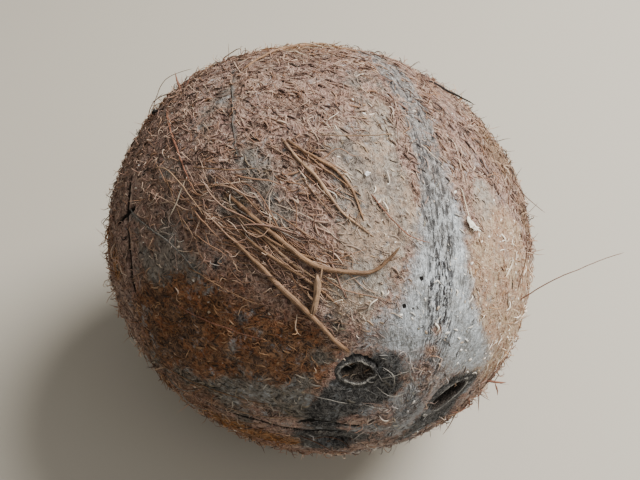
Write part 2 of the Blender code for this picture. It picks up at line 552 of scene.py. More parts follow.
    lineNoise = noiseAt(tree, body, 330.0, detail=3.0, roughness=0.6, seed=seed + 20.0)
    dryGround = pale * 0.1 - charcoal * 0.5 + zoneFields["tan"] + zoneFields["beige"] * 0.7
    flecks = ramp(tree, dryGround + (lineNoise - 0.5) * 2.6, 0.1, 1.0) + 0.05
    zoneFields["flecks"] = flecks * ramp(tree, holeAway, 0.9 * mm, 1.8 * mm)
    spine = spine * ramp(tree, tilt, math.radians(36.0), math.radians(54.0))
    zoneFields["spine"] = spine * (1.0 - charcoal) * ramp(tree, lineNoise, 0.30, 0.50)
    ridgeHair = core + pale * 0.35 + spine * 0.5 + (lineNoise - 0.5) * 1.2
    zoneFields["ridge"] = ramp(tree, ridgeHair, 0.25, 0.85)
    smooth = calculate(tree, "MINIMUM", zoneFields["beige"] * 0.70 + zoneFields["tan"] * 0.60, 0.84)
    tufty = noiseAt(tree, body, 260.0, detail=3.0, roughness=0.6, seed=seed + 12.0)
    tufty = ramp(tree, tufty, 0.40, 0.60)
    felt = (1.0 - pale * 0.9) * (1.0 - charcoal * 0.72) * (1.0 - smooth)
    felt = felt * (1.0 - zoneFields["bare"] * 0.6)
    felt = felt * ramp(tree, crackAway, 0.8 * mm, 2.8 * mm) * (tufty * 0.88 + 0.12)
    felt = felt * (1.0 - zoneFields["spine"] * 0.85)
    openGround = unworn * ramp(tree, holeAway, 0.9 * mm, 2.2 * mm)
    felt = felt * openGround * (1.0 - stain * 0.7)
    zoneFields["ridge"] = zoneFields["ridge"] * openGround
    wool = (1.0 - zoneFields["rust"] * 0.35) * (1.0 - smooth * 0.5)
    wool = wool * (1.0 - pale * 0.5) * (1.0 - charcoal * 0.45)

    # what stands up from it and what is cut into it
    clumps = (noiseAt(tree, body, 170.0, detail=3.0, roughness=0.55, seed=seed + 1.0) - 0.5) * 2.0
    matted = vectorMath(tree, "MULTIPLY", grain, (0.50, 0.50, 0.19))
    tufts = noiseAt(tree, matted, 1.0, detail=2.5, roughness=0.6, distortion=0.9, seed=seed + 2.0)
    tufts = (tufts * 0.6 + noiseAt(tree, body, 420.0, detail=2.0, seed=seed + 2.5) * 0.4 - 0.5) * 2.4
    combed = vectorMath(tree, "MULTIPLY", grain, (0.42, 0.42, 0.045))
    grooves = ramp(tree, noiseAt(tree, combed, 1.0, detail=2.0, seed=seed + 3.0), 0.50, 0.62)
    grooves = grooves * (core * 0.9 + pale * 0.25)
    rise = clumps * given["Clump Rise"] * (felt * 0.8 + 0.2)
    rise = rise + tufts * given["Felt Rise"] * (felt * 0.85 + 0.15)
    rise = rise - grooves * given["Groove Depth"]
    rise = rise - bell(tree, crackAway, 0.55 * mm) * given["Crack Depth"]
    rise = rise - bell(tree, holeAway, 0.6 * mm) * given["Pinhole Depth"]
    rise = rise - upToOne(tree, pit) * given["Pit Depth"]

    shaped = addNode(tree, "GeometryNodeSetPosition")
    geometry = Wire(tree, shaped.outputs["Geometry"])
    fuzz = felt * (0.95 - zoneFields["rust"] * 0.5) + unworn * (smooth * 0.2 + 0.05)
    fuzz = fuzz * (1.0 - upToOne(tree, pit))
    felt = felt * (1.0 - upToOne(tree, pit))
    knoll = rise + upToOne(tree, pit) * given["Pit Depth"]
    fields = dict(pale=pale, core=core, felt=felt, fuzz=fuzz, pit=pit, wool=wool,
                  crackAway=crackAway * perMetre, veinAway=veinAway * perMetre,
                  holeAway=holeAway * perMetre, rise=rise, knoll=knoll * perMetre)
    stored = Wire(tree, cube.outputs["Mesh"])
    for label, value in fields.items():
        stored = storeField(tree, stored, label, value)
    facing = fieldOf(tree, "GeometryNodeInputNormal", "Normal")
    stored = storeField(tree, stored, "facing", facing, kind="FLOAT_VECTOR", domain="FACE")
    stored = storeField(tree, stored, "OFBake",
                        cubeMap(tree, place, namedField(tree, "facing", "FLOAT_VECTOR")),
                        kind="FLOAT2", domain="CORNER")
    for label, value in zoneFields.items():
        stored = storeField(tree, stored, label, value)
    stored = storeField(tree, stored, "grain", grain, kind="FLOAT_VECTOR")
    plug(tree, shaped.inputs["Geometry"], stored)
    plug(tree, shaped.inputs["Position"], vectorMath(tree, "ADD", body, nut["middle"]))

    normal = fieldOf(tree, "GeometryNodeInputNormal", "Normal")
    raised = addNode(tree, "GeometryNodeSetPosition", {"Geometry": geometry})
    plug(tree, raised.inputs["Offset"], scaled(tree, normal, namedField(tree, "rise")))
    place = fieldOf(tree, "GeometryNodeInputPosition", "Position")
    grounded = addNode(tree, "GeometryNodeSetPosition", {
        "Geometry": raised.outputs["Geometry"], "Position": heldUp(tree, place, 0.0)})
    finishTree(tree, end, smoothed(tree, grounded.outputs["Geometry"]), given["Material"])
    return tree


def makeSkin(material):
    guides = {name: makePaths(name, paths) for name, paths in (("cracks", cracks), ("veins", veins))}
    guides["pinholes"] = makePaths("pinholes", [])
    guides["pinholes"].data.from_pydata([onNut(*spot) for spot in pinholes], [], [])
    skin = growPiece("nut_skin", bpy.data.meshes.new("skinSource"), buildNutTree(guides),
                     {"Material": material})
    for guide in guides.values():
        bpy.data.objects.remove(guide, do_unlink=True)
    return skin


def shaderValue(tree, label, output="Fac"):     # an attribute that the pieces carry
    node = addNode(tree, "ShaderNodeAttribute", attribute_name=label)
    return Wire(tree, node.outputs[output])


def placeInMm(tree):
    return scaled(tree, fieldOf(tree, "ShaderNodeTexCoord", "Object"), perMetre)


def finishMaterial(tree, shader, colour, height=None, strength=0.9, depth=1.0 * mm, gloss=None):
    # the colour, the fine relief and the gloss of a material
    tree.links.new(colour.socket, shader.inputs["Base Color"])
    if height is not None:
        bump = addNode(tree, "ShaderNodeBump",
                       {"Strength": strength, "Distance": depth, "Height": height})
        tree.links.new(bump.outputs["Normal"], shader.inputs["Normal"])
    if gloss is not None:
        shader.inputs["Specular IOR Level"].default_value = gloss


def newMaterial(name, roughness):
    material = bpy.data.materials.new(name)
    material.use_nodes = True
    tree = material.node_tree
    shader = tree.nodes["Principled BSDF"]
    shader.inputs["Roughness"].default_value = roughness
    return material, tree, shader


# A mat of fine curly threads: Threads is 1 on a thread and the gap output is 1 in the dark between them,
# where painted shade goes
def buildThreadGroup():
    inputs = {"Vector": ("NodeSocketVector", None), **asSockets({
        "Scale": 0.4, "Thread Width": 0.05, "Lengthwise": 0.5, "Seed": 0.0})}
    outputs = {"Threads": ("NodeSocketFloat", None), "Shaded Gaps": ("NodeSocketFloat", None),
               "Shade": ("NodeSocketFloat", None)}
    tree, given, end = newTree("threadMat", "ShaderNodeTree", inputs, outputs)
    stretched = vectorMath(tree, "MULTIPLY", given["Vector"],
                           joinVector(tree, 1.0, given["Lengthwise"], 1.0))
    threads = None
    for layer, grow in enumerate((1.0, 1.35, 1.9)):
        field = noiseAt(tree, stretched, given["Scale"] * grow, detail=1.5, roughness=0.45,
                        distortion=0.9, seed=given["Seed"] + 7.3 * layer)
        away = calculate(tree, "ABSOLUTE", field - 0.5)
        line = ramp(tree, away, given["Thread Width"], 0.0)
        threads = highest(tree, threads, line * (1.0 - 0.18 * layer))
    coarse = noiseAt(tree, given["Vector"], given["Scale"] * 2.2, detail=3.0, roughness=0.6,
                     seed=given["Seed"] + 30.0)
    shadedGaps = ramp(tree, coarse, 0.45, 0.34) * (1.0 - threads)
    shade = noiseAt(tree, given["Vector"], given["Scale"] * 2.4, detail=3.5, roughness=0.68,
                    seed=given["Seed"] + 50.0)
    for label, value in (("Threads", threads), ("Shaded Gaps", shadedGaps), ("Shade", shade)):
        plug(tree, end.inputs[label], value)
    return tree


def useGroup(tree, group, values):
    node = addNode(tree, "ShaderNodeGroup", node_tree=group)
    for label, value in values.items():
        plug(tree, node.inputs[label], value)
    return {output.name: Wire(tree, output) for output in node.outputs}


# The first palette covers the nut and each later one lies over it in the zone of its name. Linear
# colours: dark between the threads (a darker copy of it is painted shade in the gaps and hollows), the
# felt itself, its second hue, its threads. Then how dark the painted shade in its gaps is, how clear its
# threads are and how streaked it is lengthwise.
palettes = dict(
    mauve=((0.050, 0.028, 0.022), (0.268, 0.162, 0.116), (0.305, 0.184, 0.160),
           (0.600, 0.450, 0.360), 0.95, 0.5, 0.35),
    brown=((0.038, 0.023, 0.015), (0.195, 0.120, 0.076), (0.275, 0.158, 0.092),
           (0.520, 0.380, 0.260), 0.95, 0.5, 0.6),
    beige=((0.150, 0.112, 0.090), (0.375, 0.268, 0.190), (0.295, 0.290, 0.260),
           (0.560, 0.500, 0.420), 0.5, 0.22, 0.45),
    tan=((0.180, 0.095, 0.057), (0.388, 0.292, 0.188), (0.350, 0.205, 0.136),
         (0.660, 0.560, 0.450), 0.5, 0.28, 0.3),
    rust=((0.026, 0.015, 0.011), (0.084, 0.050, 0.034), (0.245, 0.078, 0.021),
          (0.420, 0.220, 0.110), 0.95, 0.45, 0.55),
    orange=((0.050, 0.024, 0.012), (0.240, 0.110, 0.045), (0.420, 0.170, 0.035),
            (0.460, 0.280, 0.150), 0.8, 0.5, 0.7),
    weathered=((0.040, 0.036, 0.031), (0.150, 0.140, 0.125), (0.195, 0.150, 0.118),
               (0.350, 0.320, 0.270), 0.85, 0.35, 1.0),
    bare=((0.060, 0.050, 0.044), (0.195, 0.172, 0.152), (0.235, 0.180, 0.148),
          (0.400, 0.360, 0.300), 0.85, 0.4, 0.7),
    charcoal=((0.010, 0.009, 0.009), (0.024, 0.024, 0.025), (0.054, 0.054, 0.055),
              (0.320, 0.308, 0.292), 0.9, 0.32, 0.5))
lineColours = dict(
    pale=(0.285, 0.290, 0.285),
    paleLight=(0.61, 0.660, 0.700),
    paleDark=(0.040, 0.038, 0.040),
    glint=(0.86, 0.87, 0.86),
    spine=(0.145, 0.138, 0.130),
    spineLight=(0.300, 0.298, 0.288),
    vein=(0.11, 0.118, 0.112),
    # near black: painted shade in cracks, pinholes and pits
    hollowShade=(0.006, 0.005, 0.004))


def combedNoise(tree, grain, crosswise, lengthwise, seed):
    stretched = vectorMath(tree, "MULTIPLY", grain, (crosswise, crosswise, lengthwise))
    return noiseAt(tree, stretched, 1.0, detail=4.5, roughness=0.66, seed=seed)


def paintZone(tree, palette, mat, hue, body, striae, proudLight, sunkenShade):
    deep, felt, second, thread, gapShadeStrength, threadShow, streaked = palette
    colour = mixColours(tree, hue * 0.75, felt, second)
    colour = mixColours(tree, body, deep, colour)
    colour = mixColours(tree, striae * streaked, colour, deep)
    # painted light: raised clumps take the lighter thread colour
    colour = mixColours(tree, proudLight * 0.35, colour, thread)
    # painted shade: the gaps between threads and the sunken hollows go toward a darker copy of the deep
    # colour
    gapShade = calculate(tree, "MAXIMUM", mat["Shaded Gaps"], sunkenShade * 0.8)
    colour = mixColours(tree, gapShade * gapShadeStrength, colour, tuple(part * 0.3 for part in deep))
    return mixColours(tree, mat["Threads"] * threadShow, colour, thread)


def feltNoises(tree, inMm, threadGroup):
    # the mat of threads, how the hue wanders and how dark the felt is
    mat = useGroup(tree, threadGroup, {"Vector": inMm, "Scale": 0.44, "Thread Width": 0.045,
                                       "Lengthwise": 0.6, "Seed": 1.0})
    hue = ramp(tree, noiseAt(tree, inMm, 0.75, detail=3.0, roughness=0.6, seed=2.0) * 0.4 +
               noiseAt(tree, inMm, 0.17, detail=2.5, seed=3.0) * 0.6, 0.43, 0.57)
    return mat, hue, ramp(tree, mat["Shade"], 0.30, 0.62)


def makeSkinMaterial(threadGroup):
    material, tree, shader = newMaterial("husk_skin", 0.88)
    inMm = placeInMm(tree)
    mat, hue, body = feltNoises(tree, inMm, threadGroup)
    grain = shaderValue(tree, "grain", "Vector")
    pale = shaderValue(tree, "pale")
    core = shaderValue(tree, "core")
    wander = (noiseAt(tree, inMm, 0.16, detail=4.0, roughness=0.65, seed=4.0) - 0.5) * 1.5
    knoll = shaderValue(tree, "knoll")
    # painted shade in the relief's hollows: lower skin is painted darker
    sunkenShade = ramp(tree, knoll + (mat["Shade"] - 0.5) * 0.9, 0.05, -0.55)
    # painted light on the relief's raised clumps: higher skin is painted lighter
    proudLight = ramp(tree, knoll + (mat["Shade"] - 0.5) * 0.9, 0.10, 0.70)
    striae = ramp(tree, combedNoise(tree, grain, 0.85, 0.11, 7.0), 0.49, 0.39)
    ragged = noiseAt(tree, inMm, 0.50, detail=4.0, roughness=0.7, seed=11.0) - 0.5

    colour = None
    for label, palette in palettes.items():
        own = paintZone(tree, palette, mat, hue, body, striae, proudLight, sunkenShade)
        if colour is None:
            colour = own
        else:
            reach = shaderValue(tree, label)
            fray = reach * (1.0 - reach) * 9.0 * ragged
            colour = mixColours(tree, ramp(tree, reach + fray, 0.08, 0.92), colour, own)

    # the pale ridges, combed lengthwise; the threads close up towards the eyes
    closeUp = ramp(tree, splitVector(tree, grain)[2], 50.0, 28.0)
    streak = mixNumbers(tree, closeUp, combedNoise(tree, grain, 0.80, 0.20, 5.0),
                        combedNoise(tree, grain, 0.80, 0.26, 5.5))
    fleckNoise = mixNumbers(tree, closeUp, combedNoise(tree, grain, 1.15, 0.42, 6.0),
                            combedNoise(tree, grain, 1.50, 0.80, 6.5))
    powder = noiseAt(tree, inMm, 1.3, detail=5.0, roughness=0.72, seed=8.0)
    cloud = noiseAt(tree, inMm, 0.22, detail=3.0, roughness=0.55, seed=9.0)
    hues = lineColours
    fleck = ramp(tree, fleckNoise, 0.485, 0.445)
    glint = ramp(tree, fleckNoise, 0.60, 0.68)
    cloudy = ramp(tree, powder * 0.6 + cloud * 0.4, 0.40, 0.58)
    paleColour = mixColours(tree, cloudy, hues["pale"], hues["paleLight"])
    broad = ramp(tree, core, 0.02, 0.5)
    darkLine = ramp(tree, streak, 0.485, 0.435) * (broad * 0.85 + 0.14)
    paleColour = mixColours(tree, darkLine * 0.9, paleColour, hues["paleDark"])
    speckled = ramp(tree, noiseAt(tree, inMm, 0.35, detail=2.0, seed=12.0), 0.38, 0.60)
    paleColour = mixColours(tree, fleck * (broad * 0.75 + speckled * 0.42), paleColour, hues["paleDark"])
    paleColour = mixColours(tree, glint * (core * 0.6 + 0.25), paleColour, hues["glint"])
    paleMask = ramp(tree, pale + (wander * 0.9 + ragged * 1.9) * (1.20 - pale), 0.10, 1.0)
    colour = mixColours(tree, paleMask, colour, paleColour)
    # the ridge's worn grey back
    spine = ramp(tree, shaderValue(tree, "spine") + ragged * 0.9, 0.15, 0.75)
    spine = spine * (1.0 - paleMask * 0.35)
    spineColour = mixColours(tree, ramp(tree, powder, 0.42, 0.58), hues["spine"], hues["spineLight"])
    colour = mixColours(tree, spine * 0.85, colour, spineColour)
    colour = mixColours(tree, spine * ramp(tree, streak, 0.50, 0.44) * 0.95, colour, hues["paleDark"])
    colour = mixColours(tree, spine * glint * 0.7, colour, hues["glint"])

    # veins, and cracks, pinholes and pits painted near black as painted shade in these hollows
    vein = ramp(tree, shaderValue(tree, "veinAway") + wander * 0.8, 0.9, 0.2)
    colour = mixColours(tree, vein * 0.6, colour, hues["vein"])
    hollowShade = ramp(tree, shaderValue(tree, "crackAway") + wander * 0.5, 0.70, 0.38)
    pinhole = ramp(tree, shaderValue(tree, "holeAway"), 0.62, 0.48)
    dark = calculate(tree, "MAXIMUM", hollowShade, pinhole)
    colour = mixColours(tree, dark, colour, hues["hollowShade"])
    colour = mixColours(tree, ramp(tree, shaderValue(tree, "pit"), 0.35, 0.8) * 0.9, colour,
                        hues["hollowShade"])

    sanded = upToOne(tree, shaderValue(tree, "beige") + shaderValue(tree, "tan") * 0.8)
    height = (mat["Threads"] * 0.22 + body * 0.20 - mat["Shaded Gaps"] * 0.30) * (1.0 - sanded * 0.45)
    height = height * (1.0 - paleMask * 0.75)
    height = height + (ramp(tree, streak, 0.36, 0.60) * 0.40 + glint * 0.2 - fleck * 0.35) * paleMask
    height = height - dark * 0.4
    finishMaterial(tree, shader, colour, height, gloss=0.25)
    return material


# The felt of loose fibres. Lengths and thickness are in mm, angles in degrees. Lift, stand and curl
# are shares of a fibre's length, and grows names the field that says where the layer is thick.
feltLayers = {
    "felt_low": dict(count=9400, seed=11, shortest=1.3, longest=4.4, thickness=0.54, lift=0.10,
                     stand=0.06, curl=0.13, curls=0.6, spread=52.0, segments=3, grows="felt",
                     brightness=0.80, paleness=0.0, slant=44.0, drift=2.0),
    "felt_high": dict(count=7200, seed=12, shortest=1.3, longest=5.2, thickness=0.27, lift=0.22,
                      stand=0.18, curl=0.36, curls=0.9, spread=100.0, segments=3, grows="felt",
                      brightness=1.0, paleness=0.0),
    "felt_combed": dict(count=2600, seed=13, shortest=2.5, longest=9.0, thickness=0.24, lift=0.05,
                        stand=0.03, curl=0.10, curls=1.0, spread=40.0, segments=5, grows="felt",
                        brightness=0.95, paleness=0.0, slant=40.0, drift=2.4),
    "felt_fuzz": dict(count=5200, seed=14, shortest=0.8, longest=4.8, thickness=0.21, lift=0.28,
                      stand=0.8, curl=0.30, curls=0.7, spread=180.0, segments=3, grows="fuzz",
                      brightness=1.15, paleness=0.0),
    "felt_ridge": dict(count=1700, seed=15, shortest=1.0, longest=4.6, thickness=0.25, lift=0.06,
                       stand=0.04, curl=0.16, curls=0.8, spread=42.0, segments=3, grows="ridge",
                       brightness=0.9, paleness=0.0),
    "felt_tangle": dict(count=880, seed=16, shortest=3.5, longest=14.0, thickness=0.28, lift=0.08,
                        stand=0.05, curl=0.14, curls=1.1, spread=60.0, segments=9, grows="tangle",
                        brightness=0.85, paleness=0.0, gilt=0.45, slant=32.0, drift=1.2),
    "felt_sheaf": dict(count=310, seed=18, shortest=7.0, longest=26.0, thickness=0.40, lift=0.05,
                       stand=0.02, curl=0.05, curls=1.0, spread=24.0, segments=12, grows="sheaf",
                       brightness=0.80, paleness=0.0, gilt=0.7, slant=32.0, drift=0.6),
    "felt_curls": dict(count=460, seed=19, shortest=0.8, longest=5.4, thickness=0.42, lift=0.16,
                       stand=0.06, curl=0.40, curls=0.50, spread=70.0, segments=5, grows="flecks",
                       brightness=1.15, paleness=0.80),
    # near-black flat fibres: painted shade, standing in for the dashes of shade between the felt's clumps
    "felt_dark": dict(count=1900, seed=20, shortest=1.0, longest=4.8, thickness=0.46, lift=0.03,
                      stand=0.0, curl=0.20, curls=0.7, spread=35.0, segments=3, grows="felt",
                      brightness=0.13, paleness=0.0, slant=50.0, drift=1.6)}


def randomField(tree, low, high, seed):
    node = addNode(tree, "FunctionNodeRandomValue", data_type="FLOAT")
    plug(tree, node.inputs[2], low)
    plug(tree, node.inputs[3], high)
    plug(tree, node.inputs[8], seed)
    return Wire(tree, node.outputs[1])


def buildFeltTree():
    sizes = {"Density": 0.2, "Shortest": 2.0, "Longest": 6.0, "Thickness": 0.25, "Lift": 0.2,
             "Stand": 0.0, "Curl": 0.2, "Curls": 1.0, "Spread": 60.0, "Slant": 0.0, "Drift": 3.0}
    tree, given, end = newGrowth("feltLayer", sizes, {
        "Grows By": ("NodeSocketString", "felt"), "Segments": ("NodeSocketInt", 3),
        "Cells Across": ("NodeSocketInt", 100), "Seed": ("NodeSocketInt", 1)})
    seed = given["Seed"]

    grows = namedField(tree, given["Grows By"])
    scatter = addNode(tree, "GeometryNodeDistributePointsOnFaces", distribute_method="RANDOM", inputs={
        "Mesh": given["Geometry"], "Density": grows * given["Density"] * perSquareMetre, "Seed": seed})
    out = Wire(tree, scatter.outputs["Normal"])
    root = fieldOf(tree, "GeometryNodeInputPosition", "Position")
    radial = vectorMath(tree, "NORMALIZE", vectorMath(tree, "SUBTRACT", root, nut["middle"]))
    out = vectorMath(tree, "NORMALIZE", vectorMath(tree, "ADD", out, scaled(tree, radial, 2.0)))
    sidewards = vectorMath(tree, "CROSS_PRODUCT", (0.0, 1.0, 0.0), out)
    lengthwise = vectorMath(tree, "NORMALIZE", vectorMath(tree, "CROSS_PRODUCT", out, sidewards))
    sideways = vectorMath(tree, "CROSS_PRODUCT", out, lengthwise)
    drift = (noiseAt(tree, root, 95.0, detail=2.0, seed=5.0) - 0.5) * given["Drift"]
    drift = drift + given["Slant"] * (math.pi / 180)
    swing = randomField(tree, -1.0, 1.0, seed + 1.0)
    swing = swing * calculate(tree, "ABSOLUTE", swing) * given["Spread"] * (math.pi / 180)
    flip = calculate(tree, "ROUND", randomField(tree, 0.0, 1.0, seed + 2.0)) * math.pi
    heading = drift + swing + flip
    way = vectorMath(tree, "ADD", scaled(tree, lengthwise, calculate(tree, "COSINE", heading)),
                     scaled(tree, sideways, calculate(tree, "SINE", heading)))
    chance = randomField(tree, 0.0, 1.0, seed + 3.0)
    reach = mixNumbers(tree, chance * chance, given["Shortest"], given["Longest"]) * mm
    reach = reach * namedField(tree, "wool")
    stored = Wire(tree, scatter.outputs["Points"])
    index = fieldOf(tree, "GeometryNodeInputIndex", "Index")
    for label, value, kind in (
            ("root", root, "FLOAT_VECTOR"), ("out", out, "FLOAT_VECTOR"), ("way", way, "FLOAT_VECTOR"),
            ("reach", reach, "FLOAT"), ("curl", randomField(tree, -1.0, 1.0, seed + 4.0), "FLOAT"),
            ("phase", randomField(tree, 0.0, math.tau, seed + 5.0), "FLOAT"),
            ("tint", randomField(tree, 0.0, 1.0, seed + 6.0), "FLOAT"),
            ("thick", randomField(tree, 0.6, 1.3, seed + 7.0), "FLOAT"),
            ("free", randomField(tree, 0.0, 1.0, seed + 8.0), "FLOAT"),
            ("upright", randomField(tree, 0.0, 1.0, seed + 9.0), "FLOAT"),
            ("cell", index, "FLOAT")):
        stored = storeField(tree, stored, label, value, kind=kind)

    line = addNode(tree, "GeometryNodeCurvePrimitiveLine")
    fine = addNode(tree, "GeometryNodeResampleCurve", {"Curve": line.outputs["Curve"],
                                                      "Count": given["Segments"] + 1.0})
    placed = addNode(tree, "GeometryNodeInstanceOnPoints", {"Points": stored,
                                                           "Instance": fine.outputs["Curve"]})
    real = addNode(tree, "GeometryNodeRealizeInstances", {"Geometry": placed.outputs["Instances"]})
    along = storeField(tree, real.outputs["Geometry"], "along",
                       fieldOf(tree, "GeometryNodeSplineParameter", "Factor"))

    # each fibre from its root, curling along the ground and lifting off it
    far = namedField(tree, "along")
    root = namedField(tree, "root", "FLOAT_VECTOR")
    out = namedField(tree, "out", "FLOAT_VECTOR")
    way = namedField(tree, "way", "FLOAT_VECTOR")
    side = vectorMath(tree, "CROSS_PRODUCT", out, way)
    reach = namedField(tree, "reach")
    phase = namedField(tree, "phase")
    swirl = calculate(tree, "SINE", far * given["Curls"] * math.tau + phase)
    curl = swirl - calculate(tree, "SINE", phase)
    curl = curl * namedField(tree, "curl") * given["Curl"] * reach
    arch = far * (1.0 - far) * 4.0
    freeEnd = calculate(tree, "POWER", far, 1.6)
    free = calculate(tree, "GREATER_THAN", namedField(tree, "free"), 0.6)
    lift = mixNumbers(tree, free, arch, freeEnd) * given["Lift"] * reach * namedField(tree, "thick")
    upright = given["Stand"] * namedField(tree, "upright")
    forward = reach * far
    drop = forward * forward * (1.0 - upright) / (2.0 * nut["bellyRadius"])
    rise = lift - drop - 0.12 * mm + upright * forward
    spot = vectorMath(tree, "ADD", root, scaled(tree, way, forward * (1.0 - upright * 0.75)))
    spot = vectorMath(tree, "ADD", spot, scaled(tree, side, curl))
    spot = vectorMath(tree, "ADD", spot, scaled(tree, out, rise))
    swell = calculate(tree, "DIVIDE", 2.0, calculate(tree, "MAXIMUM", reach, 0.5 * mm))
    swell = calculate(tree, "MINIMUM", swell, 420.0)
    kink = sway(tree, spot, swell, detail=1.0, seed=9.0)
    kinkSize = calculate(tree, "MINIMUM", reach, 8.0 * mm) * 0.35
    spot = vectorMath(tree, "ADD", spot, scaled(tree, kink, far * kinkSize))
    bent = addNode(tree, "GeometryNodeSetPosition", {
        "Geometry": along, "Position": heldUp(tree, spot, 0.15 * mm)})

    profile = addNode(tree, "GeometryNodeCurvePrimitiveCircle", {"Resolution": 3, "Radius": 0.5 * mm})
    turned = storeField(tree, profile.outputs["Curve"], "around",
                        fieldOf(tree, "GeometryNodeSplineParameter", "Factor"))
    taper = 1.0 - calculate(tree, "POWER", far, 3.0) * 0.8
    width = given["Thickness"] * namedField(tree, "thick") * taper
    tube = addNode(tree, "GeometryNodeCurveToMesh", {"Curve": bent.outputs["Geometry"],
                                                    "Profile Curve": turned, "Scale": width,
                                                    "Fill Caps": True})
    cells = given["Cells Across"]
    cell = namedField(tree, "cell")
    column = calculate(tree, "MODULO", cell, cells)
    row = calculate(tree, "FLOOR", cell / cells)
    u = (column + 0.08 + namedField(tree, "around") * 0.84) / cells
    v = (row + 0.08 + namedField(tree, "along") * 0.84) / cells
    mapped = storeField(tree, tube.outputs["Mesh"], "OFBake", joinVector(tree, u, v, 0.0),
                        kind="FLOAT2", domain="CORNER")
    finishTree(tree, end, smoothed(tree, mapped), given["Material"])
    return tree


# Linear colours of the loose fibres in each zone, laid over each other in this order: dark, middle
# and light ones
fibreColours = dict(
    mauve=((0.086, 0.050, 0.038), (0.325, 0.196, 0.146), (0.660, 0.500, 0.380)),
    brown=((0.060, 0.034, 0.022), (0.245, 0.148, 0.092), (0.560, 0.420, 0.290)),
    beige=((0.240, 0.170, 0.128), (0.420, 0.315, 0.240), (0.700, 0.610, 0.480)),
    tan=((0.260, 0.150, 0.095), (0.430, 0.275, 0.180), (0.760, 0.640, 0.490)),
    rust=((0.036, 0.020, 0.013), (0.190, 0.085, 0.033), (0.500, 0.300, 0.160)),
    orange=((0.090, 0.040, 0.016), (0.320, 0.130, 0.035), (0.520, 0.290, 0.130)),
    weathered=((0.050, 0.043, 0.036), (0.190, 0.165, 0.135), (0.420, 0.370, 0.300)),
    bare=((0.110, 0.088, 0.075), (0.250, 0.205, 0.170), (0.540, 0.450, 0.350)),
    pale=((0.060, 0.056, 0.056), (0.400, 0.395, 0.385), (0.760, 0.760, 0.740)),
    charcoal=((0.016, 0.015, 0.015), (0.074, 0.072, 0.070), (0.370, 0.358, 0.345)))


def makeFibreMaterial(name, brightness, paleness, gilt):
    material, tree, shader = newMaterial(name, 0.72)
    tint = shaderValue(tree, "tint")
    along = shaderValue(tree, "along")
    dapple = noiseAt(tree, shaderValue(tree, "root", "Vector"), 900.0, detail=1.0, seed=3.0) - 0.5
    # painted shade: fibres rooted in the skin's hollows are painted darker
    sunkenShade = ramp(tree, shaderValue(tree, "knoll"), 0.10, -0.55)
    shade = tint * 0.85 + along * 0.25 + dapple * 0.5 - sunkenShade * 0.30 - 0.02
    golden = ramp(tree, shaderValue(tree, "upright") + gilt, 0.78, 0.90) * 0.8
    colour = None
    for label, (dark, middle, light) in fibreColours.items():
        own = mixColours(tree, ramp(tree, shade, 0.14, 0.56), dark, middle)
        own = mixColours(tree, ramp(tree, shade, 0.66, 1.02), own, light)
        gold = tuple(part * glow for part, glow in zip(middle, (1.10, 1.0, 0.76)))
        own = mixColours(tree, golden, own, mixColours(tree, ramp(tree, shade, 0.4, 1.0), gold, light))
        if colour is None:
            colour = own
        else:
            mask = ramp(tree, shaderValue(tree, label) + dapple, 0.1, 0.9)
            colour = mixColours(tree, mask, colour, own)
    if paleness:                                # the dry white ones lie on the open ground
        openGround = shaderValue(tree, "tan") + shaderValue(tree, "beige") + shaderValue(tree, "pale")
        dry = (upToOne(tree, openGround) * 0.6 + 0.4) * ramp(tree, tint, -0.2, 0.5) * paleness
        colour = mixColours(tree, dry, colour, (0.78, 0.72, 0.62))
    colour = mixColours(tree, 1.0, colour, (brightness, brightness, brightness), "MULTIPLY")
    finishMaterial(tree, shader, colour, gloss=0.35)
    return material


def densityFor(skin, label, count):
    # how many to the square mm, where a field says how thick they grow, for that count in all
    area = sum(face.area for face in skin.data.polygons) * perSquareMetre
    coverage = skin.data.attributes[label].data
    return count / (area * (sum(item.value for item in coverage) / len(coverage)))


def named(tuning, *labels):                     # tree inputs that have the names of what was tuned
    return {label: tuning[label.lower()] for label in labels}


def makeFelt(name, skin, tree, tuning):
    values = named(tuning, "Shortest", "Longest", "Thickness", "Lift", "Stand", "Curl", "Curls",
                   "Spread", "Segments", "Seed")
    values["Density"] = densityFor(skin, tuning["grows"], tuning["count"])
    values["Grows By"] = tuning["grows"]
    values["Slant"] = tuning.get("slant", 0.0)
    values["Drift"] = tuning.get("drift", 3.0)
    values["Cells Across"] = math.ceil(math.sqrt(tuning["count"] * 1.06))
    values["Material"] = makeFibreMaterial(name, tuning["brightness"], tuning["paleness"],
                                           tuning.get("gilt", 0.0))
    return growPiece(name, skin.data.copy(), tree, values)


# Small pale crumbs of dry husk that lie on the felt
crumbSizes = dict(count=420, smallest=0.16, largest=0.46, flatness=0.45, seed=17)


